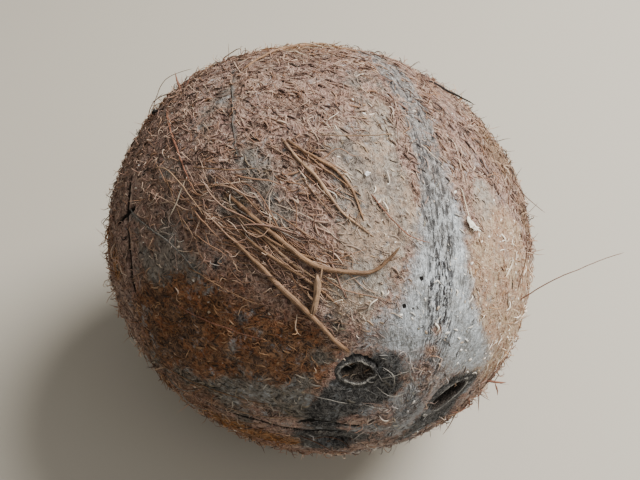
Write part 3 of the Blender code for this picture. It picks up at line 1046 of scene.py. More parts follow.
def buildCrumbTree():
    sizes = {"Density": 0.01, "Smallest": 0.16, "Largest": 0.46, "Flatness": 0.45}
    tree, given, end = newGrowth("crumbs", sizes, {"Seed": ("NodeSocketInt", 17)})
    density = namedField(tree, "flecks") * given["Density"] * perSquareMetre
    scatter = addNode(tree, "GeometryNodeDistributePointsOnFaces", distribute_method="RANDOM", inputs={
        "Mesh": given["Geometry"], "Density": density, "Seed": given["Seed"]})
    size = randomField(tree, 0.0, 1.0, given["Seed"] + 1.0)
    size = mixNumbers(tree, size * size, given["Smallest"], given["Largest"]) * mm
    scale = joinVector(tree, size * randomField(tree, 1.0, 2.8, given["Seed"] + 2.0), size,
                       size * given["Flatness"])
    stored = storeField(tree, scatter.outputs["Points"], "tint",
                        randomField(tree, 0.0, 1.0, given["Seed"] + 3.0))
    bit = addNode(tree, "GeometryNodeMeshIcoSphere", {"Radius": 1.0, "Subdivisions": 1})
    turn = addNode(tree, "FunctionNodeAxisAngleToRotation", {
        "Axis": (0.0, 0.0, 1.0), "Angle": randomField(tree, 0.0, math.tau, given["Seed"] + 4.0)})
    turned = addNode(tree, "FunctionNodeRotateRotation", rotation_space="LOCAL", inputs={
        "Rotation": scatter.outputs["Rotation"], "Rotate By": turn.outputs["Rotation"]})
    placed = addNode(tree, "GeometryNodeInstanceOnPoints", {
        "Points": stored, "Instance": bit.outputs["Mesh"],
        "Rotation": turned.outputs["Rotation"], "Scale": scale})
    real = addNode(tree, "GeometryNodeRealizeInstances", {"Geometry": placed.outputs["Instances"]})
    place = fieldOf(tree, "GeometryNodeInputPosition", "Position")
    rough = sway(tree, place, 2600.0, detail=0.0, seed=2.0)
    uneven = addNode(tree, "GeometryNodeSetPosition", {"Geometry": real.outputs["Geometry"]})
    plug(tree, uneven.inputs["Offset"], scaled(tree, rough, 0.3 * mm))
    finishTree(tree, end, smoothed(tree, uneven.outputs["Geometry"]), given["Material"])
    return tree


def makeCrumbs(skin):
    material, tree, shader = newMaterial("dry_crumb", 0.8)
    inMm = placeInMm(tree)
    grit = noiseAt(tree, inMm, 5.0, detail=3.0, seed=2.0)
    tint = shaderValue(tree, "tint")
    colour = mixColours(tree, ramp(tree, tint, 0.2, 0.9), (0.46, 0.36, 0.26), (0.86, 0.84, 0.78))
    colour = mixColours(tree, ramp(tree, grit, 0.52, 0.38) * 0.6, colour, (0.24, 0.16, 0.10))
    finishMaterial(tree, shader, colour)
    values = named(crumbSizes, "Smallest", "Largest", "Flatness", "Seed")
    values["Density"] = densityFor(skin, "flecks", crumbSizes["count"])
    values["Material"] = material
    return growPiece("dry_crumbs", skin.data.copy(), buildCrumbTree(), values)


# Loose strands of coir. Each is a path of turn, tilt and height off the skin in mm, then the width
# in mm at its start, middle and end, its colour, and how many splinters its end frays into.
strandDyes = dict(
    gold=(0.225, 0.135, 0.078), tan=(0.320, 0.212, 0.136), brown=(0.130, 0.065, 0.040),
    red=(0.230, 0.105, 0.068), grey=(0.125, 0.118, 0.108), black=(0.014, 0.011, 0.009),
    pale=(0.650, 0.560, 0.440), ash=(0.300, 0.290, 0.265))
thickStrands = (
    (((-31, 72, 0.0), (-28, 65, 0.5), (-22, 53, 0.9), (-17, 46, 0.9), (-9, 43, 0.7), (0, 41, 0.6),
      (5, 43, 0.9), (9, 46, 2.6)), (0.9, 1.35, 0.7), "gold", 2),
    (((-35, 63, 0.2), (-32, 54, 0.6), (-28, 43, 0.9), (-25, 38, 1.0), (-21, 29, 0.9), (-15, 22.5, 0.6)),
     (0.8, 1.4, 0.9), "gold", 3),
    (((-24.5, 37, 0.9), (-21, 39, 1.2), (-18, 42, 1.6), (-17, 44.5, 1.9)), (1.3, 1.7, 1.5), "tan", 3),
    (((-33, 64, 0.1), (-30, 57, 0.6), (-27, 52, 0.8), (-22, 46, 0.7), (-18, 41, 0.4), (-14, 36, 0.1)),
     (0.5, 0.8, 0.5), "gold", 4),
    (((-31, 67, 0.3), (-27, 58, 0.5), (-23, 49, 0.5), (-19, 45, 0.3), (-15, 41, 0.1)),
     (0.4, 0.7, 0.4), "tan", 3),
    (((-29, 62, 0.7), (-25, 55, 1.0), (-20, 50, 0.8), (-16, 48, 0.3)), (0.4, 0.6, 0.4), "gold", 3),
    (((-13, 79, 0.1), (-11, 71, 0.5), (-8, 66, 0.6), (-6, 59, 0.5), (-4, 55, 0.3), (3, 49, 0.1)),
     (0.7, 0.9, 0.4), "tan", 2),
    (((-12, 78, 0.2), (-9, 73, 0.6), (-3, 67, 0.5), (0, 62, 0.4), (1, 53, 0.1)),
     (0.6, 0.8, 0.4), "gold", 3),
    (((-10, 76, 0.0), (-7, 69, 0.5), (-2, 63, 0.5), (2, 59, 0.2)), (0.4, 0.5, 0.3), "gold", 2),
    (((125, 60, 0.2), (121, 68, 0.7), (114, 77, 0.8), (106, 84, 0.5), (101, 92, 0.2)),
     (0.9, 1.3, 0.6), "gold", 3),
    (((131, 64, 0.2), (122, 71, 0.5), (112, 75, 0.6), (103, 78, 0.3)), (0.6, 0.9, 0.5), "tan", 3),
    (((-128, 92, 0.2), (-122, 82, 0.7), (-113, 74, 0.8), (-106, 63, 0.4)), (0.8, 1.2, 0.6), "gold", 3),
    (((-134, 84, 0.1), (-124, 80, 0.6), (-112, 79, 0.4)), (0.5, 0.8, 0.4), "tan", 2),
    (((176, 128, 0.2), (168, 118, 0.7), (158, 108, 0.6), (154, 96, 0.2)), (0.8, 1.1, 0.6), "gold", 3),
    (((20, 132, 0.2), (8, 124, 0.6), (-4, 120, 0.6), (-16, 112, 0.2)), (0.6, 1.0, 0.5), "gold", 3))
fineHairs = (
    (((58, 52, 0.1), (57.5, 50, 0.5), (57, 48, 0.6), (56, 46, 0.3)), (0.30, 0.55, 0.60), "pale", 0),
    (((60, 43.5, 0.1), (61.5, 42, 0.5), (63, 41, 0.2)), (0.40, 0.55, 0.30), "pale", 0),
    (((-4, 77, 0.3), (1, 75, 1.2), (6, 74, 1.4), (11, 74, 1.2), (15, 75, 0.4)),
     (0.30, 0.34, 0.20), "tan", 0),
    (((5, 59, 0.1), (9, 52, 0.8), (13, 48, 1.2), (20, 47, 1.5)), (0.34, 0.34, 0.16), "red", 0),
    (((-47, 92, 0.2), (-42, 87, 1.6), (-40, 82, 2.2), (-39, 78, 2.0), (-38, 69, 0.5)),
     (0.32, 0.40, 0.22), "tan", 0),
    (((-38, 79, 2.0), (-43, 76, 1.2), (-47, 75, 0.6)), (0.30, 0.30, 0.16), "pale", 0),
    (((-36, 83, 0.4), (-29, 76, 1.4), (-21, 73, 0.5)), (0.28, 0.34, 0.18), "gold", 0),
    (((-37, 76, 0.3), (-30, 73, 1.0), (-24, 71, 0.3)), (0.24, 0.30, 0.16), "tan", 0),
    (((-3, 25, 0.2), (10, 26, 0.5), (26, 27, 0.7), (42, 26, 0.3)), (0.14, 0.14, 0.10), "grey", 0),
    (((71, 46, 0.0), (69, 50, 5.0), (68, 54, 12.0), (68, 57, 18.5), (69, 59, 23.5)),
     (0.34, 0.26, 0.14), "red", 0),
    (((61, 78, 0.0), (63, 75, 1.0), (66, 72, 2.3), (68, 70, 5.2)), (0.26, 0.22, 0.12), "brown", 0),
    (((67, 47, 0.0), (63, 54, 1.6), (60, 59, 2.9), (56, 63, 2.6)), (0.22, 0.22, 0.12), "brown", 0),
    (((34.5, 101, 0.8), (39, 98, 1.6), (43, 95.6, 2.2), (46, 93.5, 2.9)), (0.34, 0.62, 0.30), "black", 1),
    (((-47, 117, 0.6), (-44, 119, 3.2), (-40, 120, 4.6), (-35, 122, 4.8), (-31, 123, 2.4)),
     (0.20, 0.20, 0.12), "brown", 0),
    (((-48, 113, 0.2), (-48, 117, 1.8), (-45, 119, 3.4), (-41, 119, 2.2)),
     (0.30, 0.26, 0.16), "brown", 0),
    (((-36, 118, 0.0), (-36, 120, 2.2), (-35, 121, 4.6)), (0.85, 0.60, 0.16), "red", 1),
    (((-33, 120, 0.1), (-31, 121, 1.8), (-27, 122, 2.2), (-24, 121, 0.6)), (0.26, 0.24, 0.14), "tan", 0),
    (((-32, 118, 0.2), (-30, 119, 1.6), (-28, 120, 2.6)), (0.30, 0.26, 0.14), "brown", 0),
    (((-20, 123, 0.0), (-19, 124, 2.4), (-18, 125, 4.6)), (0.16, 0.14, 0.10), "brown", 0),
    (((95, 30, 0.2), (95, 31, 2.2), (95, 33, 4.0)), (0.80, 0.60, 0.30), "red", 1),
    (((95, 31, 2.0), (97, 31, 3.6), (99, 30, 4.4)), (0.50, 0.40, 0.25), "red", 0),
    (((-105, 21, 0.2), (-107, 17, 1.8), (-116, 13, 4.4)), (0.30, 0.26, 0.16), "brown", 0),
    (((-112, 20, 0.2), (-117, 15, 1.6), (-125, 10, 3.0)), (0.22, 0.20, 0.12), "brown", 0),
    (((-59, 90, 0.1), (-54, 78, 0.5), (-50, 71, 0.5), (-49, 65, 0.4), (-48, 58, 0.1)),
     (0.30, 0.45, 0.26), "grey", 2),
    (((-44, 86, 0.2), (-43, 80, 0.8), (-44, 74, 0.7), (-45, 68, 0.2)), (0.26, 0.28, 0.16), "gold", 0),
    (((-50, 63, 0.1), (-46, 56, 0.5), (-42, 49, 0.5), (-37, 44, 0.1)), (0.28, 0.30, 0.18), "gold", 0),
    (((-62, 62, 0.1), (-57, 52, 0.4), (-51, 44, 0.4), (-45, 38, 0.1)), (0.26, 0.28, 0.16), "red", 0),
    (((-88, 62, 0.1), (-85, 50, 0.5), (-80, 40, 0.5), (-74, 29, 0.2)), (0.30, 0.32, 0.18), "gold", 0),
    (((-92, 48, 0.2), (-88, 37, 0.6), (-83, 27, 0.5), (-77, 20, 0.2)), (0.26, 0.26, 0.14), "tan", 0),
    (((-104, 47, 0.2), (-98, 36, 0.7), (-92, 27, 0.4)), (0.24, 0.24, 0.14), "gold", 0),
    (((33, 62, 0.2), (34, 56, 0.9), (36, 52, 0.5)), (0.36, 0.36, 0.24), "pale", 0),
    (((-19, 114, 0.0), (-20, 106, 0.3), (-21, 98, 0.3), (-23, 88, 0.3), (-25, 77, 0.0)),
     (0.22, 0.36, 0.22), "grey", 0),
    (((-41, 113, 0.0), (-39, 99, 0.3), (-38, 88, 0.4), (-38, 78, 0.1)), (0.45, 0.60, 0.40), "red", 0),
    (((110, 100, 0.1), (104, 84, 0.5), (106, 66, 0.1)), (0.40, 0.55, 0.35), "grey", 0),
    (((-150, 60, 0.1), (-158, 74, 0.5), (-154, 92, 0.1)), (0.40, 0.55, 0.35), "red", 0),
    # over and beside the eyes
    (((-17, 23, 0.7), (-11, 22, 0.9), (-4, 21.5, 0.9), (2, 21, 0.3)), (0.50, 0.40, 0.22), "ash", 1),
    (((-17, 22.5, 0.6), (-10, 20.5, 1.0), (-5, 19, 0.8), (0, 18, 0.2)), (0.40, 0.36, 0.20), "ash", 1),
    (((-15, 22, 0.6), (-9, 21.5, 0.7), (-6, 23, 0.5)), (0.50, 0.44, 0.26), "brown", 1),
    (((-1, 19, 0.2), (6, 18, 1.1), (10, 16, 1.1), (7, 14, 0.4)), (0.26, 0.28, 0.18), "ash", 0),
    (((-6, 16, 0.2), (4, 17, 1.0), (14, 17, 0.8), (19, 18, 0.2)), (0.24, 0.26, 0.16), "ash", 0),
    (((2, 12, 0.2), (14, 14, 1.0), (10, 17, 0.9), (0, 16, 0.3)), (0.22, 0.26, 0.16), "grey", 0),
    (((-8, 14, 0.2), (-2, 11, 0.9), (10, 10, 0.8), (24, 12, 0.2)), (0.22, 0.24, 0.14), "ash", 0),
    (((16, 20, 0.1), (20, 16, 0.7), (30, 14, 0.5)), (0.20, 0.22, 0.14), "ash", 0),
    (((-30, 11, 0.1), (-22, 9, 0.8), (-8, 9, 0.6), (6, 7, 0.1)), (0.20, 0.24, 0.14), "ash", 0),
    (((-52, 20, 0.1), (-46, 16, 0.6), (-40, 13, 0.3)), (0.20, 0.22, 0.14), "ash", 0),
    (((60, 22, 0.1), (64, 18, 0.7), (62, 14, 0.2)), (0.20, 0.22, 0.14), "ash", 0),
    # curls at the lower right
    (((101, 24, 0.1), (104, 26, 1.6), (108, 25, 2.4), (109, 22, 1.2)), (0.26, 0.28, 0.16), "red", 0),
    (((104, 21, 0.1), (108, 23, 1.8), (113, 22, 2.2), (112, 19, 0.6)), (0.24, 0.26, 0.16), "tan", 0),
    (((108, 27, 0.1), (112, 25, 1.9), (114, 22, 1.4), (110, 20, 0.3)), (0.24, 0.28, 0.16), "red", 0),
    (((112, 18, 0.1), (117, 20, 1.6), (122, 18, 1.4), (120, 15, 0.2)), (0.22, 0.26, 0.14), "tan", 0),
    (((98, 28, 0.1), (102, 30, 1.6), (106, 29, 1.2), (104, 26, 0.2)), (0.28, 0.28, 0.16), "red", 0),
    (((116, 24, 0.1), (120, 22, 2.2), (126, 19, 3.2)), (0.26, 0.22, 0.12), "brown", 0),
    (((106, 30, 0.1), (110, 31, 2.0), (113, 29, 3.4)), (0.30, 0.24, 0.12), "red", 1),
    (((121, 14, 0.1), (128, 15, 1.5), (134, 13, 1.8)), (0.24, 0.22, 0.12), "brown", 0),
    # the tuft at the upper left
    (((-41, 116, 0.1), (-43, 118, 1.8), (-46, 118, 2.6), (-47, 115, 1.2)), (0.26, 0.28, 0.16), "tan", 0),
    (((-38, 117, 0.1), (-40, 120, 1.4), (-43, 121, 2.4), (-46, 120, 2.4)),
     (0.34, 0.30, 0.16), "brown", 0),
    (((-45, 112, 0.1), (-48, 114, 1.6), (-50, 113, 2.4), (-50, 110, 1.0)),
     (0.24, 0.26, 0.14), "brown", 0),
    (((-34, 117, 0.1), (-33, 120, 1.6), (-30, 122, 2.2), (-27, 120, 0.8)), (0.30, 0.30, 0.18), "red", 0),
    (((-30, 118, 0.2), (-27, 121, 1.4), (-23, 122, 1.8), (-20, 120, 0.4)), (0.22, 0.24, 0.14), "tan", 0),
    (((-44, 115, 0.3), (-45.5, 116, 1.3), (-46.5, 115, 1.7), (-45.5, 113.5, 1.2), (-44, 114.5, 0.6)),
     (1.00, 1.25, 0.70), "black", 1),
    # along the left edge and under it
    (((-100, 44, 0.1), (-103, 40, 1.4), (-107, 36, 1.6), (-110, 30, 0.3)), (0.24, 0.26, 0.14), "gold", 0),
    (((-96, 56, 0.1), (-99, 53, 1.5), (-101, 49, 1.3), (-100, 45, 0.2)), (0.24, 0.26, 0.14), "ash", 0),
    (((-93, 60, 0.1), (-95, 56, 1.0), (-93, 52, 0.9), (-89, 48, 0.2)), (0.22, 0.24, 0.14), "ash", 0),
    (((-90, 66, 0.1), (-93, 62, 1.3), (-97, 60, 1.9)), (0.22, 0.20, 0.12), "brown", 0))


def skinAt(hull, direction):                    # where a ray from outside to the middle meets the skin
    return hull.ray_cast(nut["middle"] + direction * nut["clearOf"], -direction)[0]


def laidPath(hull, stops):
    # a fine path over the skin through the given stops
    points = []
    for (turnA, tiltA, liftA), (turnB, tiltB, liftB) in zip(stops, stops[1:]):
        first = onNut(turnA, tiltA)
        last = onNut(turnB, tiltB)
        steps = max(1, round(math.degrees(first.angle(last)) / 2.5))
        for step in range(steps):
            share = step / steps
            direction = first.slerp(last, share)
            lift = liftA + (liftB - liftA) * share
            points.append(skinAt(hull, direction) + direction * (lift * mm))
    turn, tilt, lift = stops[-1]
    direction = onNut(turn, tilt)
    points.append(skinAt(hull, direction) + direction * (lift * mm))
    for _ in range(2):
        middles = [(a + b * 2 + c) / 4 for a, b, c in zip(points, points[1:], points[2:])]
        points = [points[0]] + middles + [points[-1]]
    return points


def widthAt(widths, share):
    start, middle, end = widths
    if share < 0.5:
        return start + (middle - start) * share * 2
    return middle + (end - middle) * (share - 0.5) * 2


def strandGuides(name, hull, strands, draw, extra=()):
    # all paths as one wire mesh with a width and a colour at each point
    vertices = []
    edges = []
    widths = []
    dyes = []

    def addLine(points, lineWidths, dye):
        start = len(vertices)
        for number, point in enumerate(points):
            vertices.append(point)
            widths.append(widthAt(lineWidths, number / (len(points) - 1)))
            dyes.append(dye)
        edges.extend((start + number, start + number + 1) for number in range(len(points) - 1))

    for stops, lineWidths, tone, frays in strands:
        shade = draw.uniform(0.85, 1.15)
        dye = tuple(part * shade for part in strandDyes[tone])
        points = laidPath(hull, stops)
        addLine(points, lineWidths, dye)
        for _ in range(frays):                  # splinters that leave the strand near its end
            leave = points[max(0, len(points) - 1 - draw.randint(1, 3))]
            before = points[-2]
            ahead = (points[-1] - before).normalized()
            out = (points[-1] - nut["middle"]).normalized()
            aside = ahead.cross(out) * draw.uniform(-0.8, 0.8)
            reach = draw.uniform(2.0, 5.0) * mm
            tip = leave + (ahead + aside).normalized() * reach + out * draw.uniform(-0.1, 0.5) * mm
            bend = (leave + tip) / 2 + aside * 0.6 * mm + out * 0.25 * mm
            fine = lineWidths[2] * 0.4
            addLine([leave, bend, tip], (fine, fine * 0.8, fine * 0.4),
                    tuple(part * 1.15 for part in dye))
    for points, lineWidths, tone in extra:
        addLine(points, lineWidths, strandDyes[tone])
    mesh = bpy.data.meshes.new(name)
    mesh.from_pydata(vertices, edges, [])
    mesh.attributes.new("width", "FLOAT", "POINT").data.foreach_set("value", widths)
    dyeData = mesh.attributes.new("dye", "FLOAT_VECTOR", "POINT").data
    dyeData.foreach_set("vector", [part for dye in dyes for part in dye])
    return mesh


def buildStrandTree():
    tree, given, end = newGrowth("strand", {
        "Step": 0.9, "Sides": 8.0, "Unevenness": 0.3, "Wobble": 0.15}, {})
    lines = addNode(tree, "GeometryNodeMeshToCurve", {"Mesh": given["Geometry"]})
    curved = addNode(tree, "GeometryNodeCurveSplineType", {"Curve": lines.outputs["Curve"]},
                     spline_type="CATMULL_ROM")
    fine = addNode(tree, "GeometryNodeResampleCurve", {"Curve": curved.outputs["Curve"],
                                                      "Length": given["Step"] * mm}, mode="LENGTH")
    spline = tree.nodes.new("GeometryNodeSplineParameter")
    share = Wire(tree, spline.outputs["Factor"])
    length = Wire(tree, spline.outputs["Length"])
    stored = storeField(tree, fine.outputs["Curve"], "share", share)
    stored = storeField(tree, stored, "length", length * perMetre)
    place = fieldOf(tree, "GeometryNodeInputPosition", "Position")
    wobble = sway(tree, place, 260.0, detail=2.0, seed=3.0)
    bent = addNode(tree, "GeometryNodeSetPosition", {"Geometry": stored})
    plug(tree, bent.inputs["Offset"], scaled(tree, wobble, given["Wobble"] * mm))
    profile = addNode(tree, "GeometryNodeCurvePrimitiveCircle", {
        "Resolution": given["Sides"], "Radius": 0.5 * mm})
    turned = storeField(tree, profile.outputs["Curve"], "around",
                        fieldOf(tree, "GeometryNodeSplineParameter", "Factor"))
    fromEnd = calculate(tree, "MINIMUM", namedField(tree, "share"), 1.0 - namedField(tree, "share"))
    taper = ramp(tree, fromEnd, -0.03, 0.05)
    uneven = (noiseAt(tree, place, 420.0, detail=2.0, seed=8.0) - 0.5) * given["Unevenness"] * 2.0 + 1.0
    tube = addNode(tree, "GeometryNodeCurveToMesh", {
        "Curve": bent.outputs["Geometry"], "Profile Curve": turned,
        "Scale": namedField(tree, "width") * taper * uneven, "Fill Caps": True})
    smooth = smoothed(tree, tube.outputs["Mesh"])
    around = namedField(tree, "around") * math.tau
    onTube = joinVector(tree, calculate(tree, "SINE", around), calculate(tree, "COSINE", around),
                        namedField(tree, "length") * 0.22)
    onTube = vectorMath(tree, "MULTIPLY", onTube, (1.6, 1.6, 1.0))
    ribs = noiseAt(tree, onTube, 1.0, detail=2.0, seed=4.0) - 0.5
    normal = fieldOf(tree, "GeometryNodeInputNormal", "Normal")
    swelling = ribs * namedField(tree, "width") * given["Unevenness"] * mm
    moved = vectorMath(tree, "ADD", place, scaled(tree, normal, swelling))
    ribbed = addNode(tree, "GeometryNodeSetPosition", {
        "Geometry": smooth, "Position": heldUp(tree, moved, 0.1 * mm)})
    finishTree(tree, end, ribbed.outputs["Geometry"], given["Material"])
    return tree


# How finely each lot of strands is drawn: step and wobble in mm
strandSizes = dict(
    coir_strands=dict(step=0.8, sides=8, unevenness=0.35, wobble=0.5, seed=21),
    fine_hairs=dict(step=1.1, sides=5, unevenness=0.2, wobble=0.9, seed=22),
    eye_threads=dict(step=0.5, sides=5, unevenness=0.3, wobble=0.5, seed=23))


def makeStrandMaterial():
    material, tree, shader = newMaterial("coir_strand", 0.55)
    around = shaderValue(tree, "around") * math.tau
    lengthwise = joinVector(tree, calculate(tree, "SINE", around) * 1.4,
                            calculate(tree, "COSINE", around) * 1.4,
                            shaderValue(tree, "length") * 0.25)
    streak = noiseAt(tree, lengthwise, 1.0, detail=4.0, roughness=0.65, seed=3.0)
    inMm = placeInMm(tree)
    stain = noiseAt(tree, inMm, 0.35, detail=3.0, seed=6.0)
    dye = Wire(tree, addNode(tree, "ShaderNodeAttribute", attribute_name="dye").outputs["Color"])
    light = mixColours(tree, 1.0, dye, (1.55, 1.5, 1.4), "MULTIPLY")
    dark = mixColours(tree, 1.0, dye, (0.28, 0.23, 0.20), "MULTIPLY")
    colour = mixColours(tree, ramp(tree, streak, 0.50, 0.62), dye, light)
    colour = mixColours(tree, ramp(tree, streak, 0.48, 0.38), colour, dark)
    colour = mixColours(tree, ramp(tree, stain, 0.50, 0.72) * 0.6, colour, dark)
    finishMaterial(tree, shader, colour, streak, strength=0.8, depth=0.3 * mm, gloss=0.22)
    return material


def makeStrands(name, hull, tree, material, strands, extra=()):
    sizes = strandSizes[name]
    guide = strandGuides(name + "Guide", hull, strands, random.Random(sizes["seed"]), extra)
    values = named(sizes, "Step", "Sides", "Unevenness", "Wobble")
    values["Material"] = material
    return growPiece(name, guide, tree, values)


# The three eyes: place, size of the hole, how it is lined and how dark its walls and hole are painted as
# shade. Lengths in mm, angles in degrees.
eyeCups = dict(
    eye_left=dict(turn=-19.0, tilt=19.3, radius=3.25, long=1.17, lean=-27.0, depth=2.1, rim=0.24,
                  torn=0.9, floor=0.9, wallShade=0.72, hole=(-1.3, 1.6, 2.1), threads=16, outer=5.5,
                  seed=31),
    eye_right=dict(turn=83.0, tilt=16.4, radius=4.50, long=1.45, lean=107.0, depth=4.6, rim=0.14,
                   torn=0.40, floor=0.1, wallShade=1.1, hole=(0.0, 0.0, 9.0), threads=7, outer=7.8, seed=32),
    eye_under=dict(turn=228.0, tilt=20.0, radius=3.5, long=1.14, lean=40.0, depth=3.0, rim=0.22, torn=0.8,
                   floor=0.45, wallShade=0.7, hole=(0.6, -0.8, 2.2), threads=14, outer=5.6, seed=33))
cupSpots = 96                                   # round each cup
eyeRing = dict(spots=16, reach=0.115)           # reach as a share of the nut's radius


def eyeFrame(hull, turn, tilt):
    # origin, two directions along the skin and the one out of it, from a ring of spots round the hole
    centre = onNut(turn, tilt)
    lengthwise = (Vector((0.0, 1.0, 0.0)) - centre * centre.y).normalized()
    sideways = lengthwise.cross(centre)
    ring = []
    for step in range(eyeRing["spots"]):
        angle = math.tau * step / eyeRing["spots"]
        aside = sideways * math.cos(angle) + lengthwise * math.sin(angle)
        ring.append(skinAt(hull, (centre + aside * eyeRing["reach"]).normalized()))
    origin = sum(ring, Vector()) / len(ring)
    out = Vector()
    for a, b in zip(ring, ring[1:] + ring[:1]):
        out += (a - origin).cross(b - origin)
    out.normalize()
    if out.dot(centre) < 0:
        out.negate()
    lengthwise = (lengthwise - out * out.dot(lengthwise)).normalized()
    return origin, lengthwise.cross(out), lengthwise, out


def makeCup(name, hull, material, tuning):
    draw = random.Random(tuning["seed"])
    origin, sideways, lengthwise, out = eyeFrame(hull, tuning["turn"], tuning["tilt"])
    radius = tuning["radius"]
    depth = tuning["depth"]
    rim = tuning["rim"]
    # each row: radius and height in mm (on the skin where it has none), how far the tearing shows,
    # rim, how deep in the hole and how drawn out
    outer = tuning["outer"]
    rows = [(outer, None, 0.0, 0.0, 0.0, 0.0), (outer * 0.7 + radius * 0.3, None, 0.3, 0.0, 0.0, 0.3),
            (outer * 0.45 + radius * 0.55, rim * 0.1, 0.5, 0.15, 0.0, 0.7),
            (radius + 0.55, rim * 0.7, 0.9, 0.7, 0.0, 1.0),
            (radius + 0.3, rim, 1.0, 1.0, 0.0, 1.0), (radius + 0.08, rim * 0.85, 1.0, 0.9, 0.1, 1.0),
            (radius - 0.15, rim * 0.1, 0.8, 0.5, 0.3, 1.0), (radius - 0.25, -0.5, 0.3, 0.1, 0.6, 1.0),
            (radius - 0.3, -depth * 0.4, 0.2, 0.0, 0.8, 1.0),
            (radius - 0.45, -depth * 0.7, 0.2, 0.0, 1.0, 1.0),
            (radius - 0.8, -depth * 0.92, 0.3, 0.0, 1.0, 1.0)]
    floorRows = 9
    for step in range(1, floorRows + 1):
        share = step / floorRows
        rows.append(((radius - 0.8) * (1 - share), -depth * (1.0 + 0.05 * share), 0.5, 0.0, 1.0, 1.0))
    waves = [(draw.uniform(0, math.tau), draw.uniform(0.6, 1.4)) for _ in range(9)]

    def ragged(angle, first, last):
        return sum(math.sin(angle * (k + 1) + waves[k][0]) * waves[k][1] / (k + 1) ** 0.5
                   for k in range(first, last)) / 2.2

    lean = math.radians(tuning["lean"])
    holeX, holeY, holeRadius = tuning["hole"]
    vertices = []
    rims = []
    deeps = []
    holeShade = []
    count = cupSpots
    for number, (reach, height, tear, rimShare, deep, drawn) in enumerate(rows):
        long = 1.0 + (tuning["long"] - 1.0) * drawn
        for step in range(count):
            angle = math.tau * step / count
            jag = ragged(angle, 3, 9) * tuning["torn"] * tear
            sideStep = ragged(angle, 1, 4) * 0.12 * reach / radius
            grown = max(0.0, reach + jag * 0.5 * (reach > 0.2) + sideStep)
            u = grown * long * math.cos(angle)
            v = grown / long * math.sin(angle)
            across = u * math.cos(lean) - v * math.sin(lean)
            ahead = u * math.sin(lean) + v * math.cos(lean)
            spot = origin + sideways * (across * mm) + lengthwise * (ahead * mm)
            sunk = 0.0
            if deep == 1.0:                     # the lumpy floor, with a deeper hole in it
                near = math.hypot(across - holeX, ahead - holeY) / holeRadius
                sunk = max(0.0, 1.0 - near * near) if near < 1 else 0.0
                lumps = math.sin(across * 4.1 + waves[1][0]) * math.sin(ahead * 3.7 + waves[2][0])
                level = height * (1 - tuning["floor"] * 0.35) + lumps * 0.22 - sunk * 1.4
                # painted shade: the deeper hole in the floor goes black
                holeShade.append(min(1.0, sunk * 2.2))
            elif height is not None:
                level = height + jag * 0.28 * (tear > 0.5)
                # painted shade: the walls darken with depth
                holeShade.append(min(1.0, max(0.0, -height / depth) ** 0.5 * tuning["wallShade"]))
            else:
                holeShade.append(0.0)
            if height is None:
                direction = (spot - nut["middle"]).normalized()
                spot = skinAt(hull, direction) - direction * ((0.45 if number == 0 else 0.02) * mm)
            else:
                spot = spot + out * (level * mm)
            vertices.append(spot)
            rims.append(rimShare)
            deeps.append(deep)
    faces = []
    for row in range(len(rows) - 1):
        for step in range(count):
            after = (step + 1) % count
            faces.append((row * count + step, row * count + after, (row + 1) * count + after,
                          (row + 1) * count + step))
    mesh = bpy.data.meshes.new(name)
    mesh.from_pydata(vertices, [], faces)
    for label, values in (("rim", rims), ("deep", deeps), ("hole", holeShade)):
        mesh.attributes.new(label, "FLOAT", "POINT").data.foreach_set("value", values)
    work = bmesh.new()
    work.from_mesh(mesh)
    bmesh.ops.remove_doubles(work, verts=work.verts, dist=0.00002)
    work.normal_update()
    facing = sum((face.normal.dot(out) for face in work.faces), 0.0)
    if facing < 0:
        bmesh.ops.reverse_faces(work, faces=work.faces)
    for face in work.faces:
        face.smooth = True
    work.to_mesh(mesh)
    work.free()
    mesh.materials.append(material)
    return placePiece(name, mesh)


def makeCupMaterial(threadGroup):
    material, tree, shader = newMaterial("eye_lining", 0.85)
    inMm = placeInMm(tree)
    grit = noiseAt(tree, inMm, 2.2, detail=4.0, roughness=0.7, seed=2.0)
    fine = noiseAt(tree, inMm, 4.5, detail=3.0, roughness=0.6, distortion=1.0, seed=3.0)
    lumps = noiseAt(tree, inMm, 0.8, detail=3.0, seed=4.0)
    deep = shaderValue(tree, "deep")
    rim = shaderValue(tree, "rim")
    # the dark speckled floor deep in the cup
    pitFloor = mixColours(tree, ramp(tree, grit, 0.42, 0.58), (0.012, 0.010, 0.009), (0.105, 0.082, 0.066))
    pitFloor = mixColours(tree, ramp(tree, fine, 0.56, 0.64) * 0.85, pitFloor, (0.36, 0.32, 0.27))
    mat, hue, body = feltNoises(tree, inMm, threadGroup)
    outside = paintZone(tree, palettes["charcoal"], mat, hue * 0.5, body, 0.0, 0.0, 0.0)
    outside = mixColours(tree, ramp(tree, rim, 0.4, 0.0) * 0.35, outside, (0.010, 0.010, 0.010))
    torn = mixColours(tree, ramp(tree, fine, 0.36, 0.60), (0.050, 0.047, 0.043), (0.480, 0.462, 0.425))
    colour = mixColours(tree, ramp(tree, deep, 0.15, 0.6), outside, pitFloor)
    colour = mixColours(tree, ramp(tree, rim + (lumps - 0.5) * 2.6, 0.72, 1.10) * 0.85, colour, torn)
    # painted shade: near black on the deep walls and in the floor's hole
    colour = mixColours(tree, shaderValue(tree, "hole"), colour, (0.003, 0.003, 0.003))
    height = grit * 0.5 + fine * 0.3 + mat["Threads"] * 0.3
    finishMaterial(tree, shader, colour, height, depth=0.7 * mm, gloss=0.3)
    return material


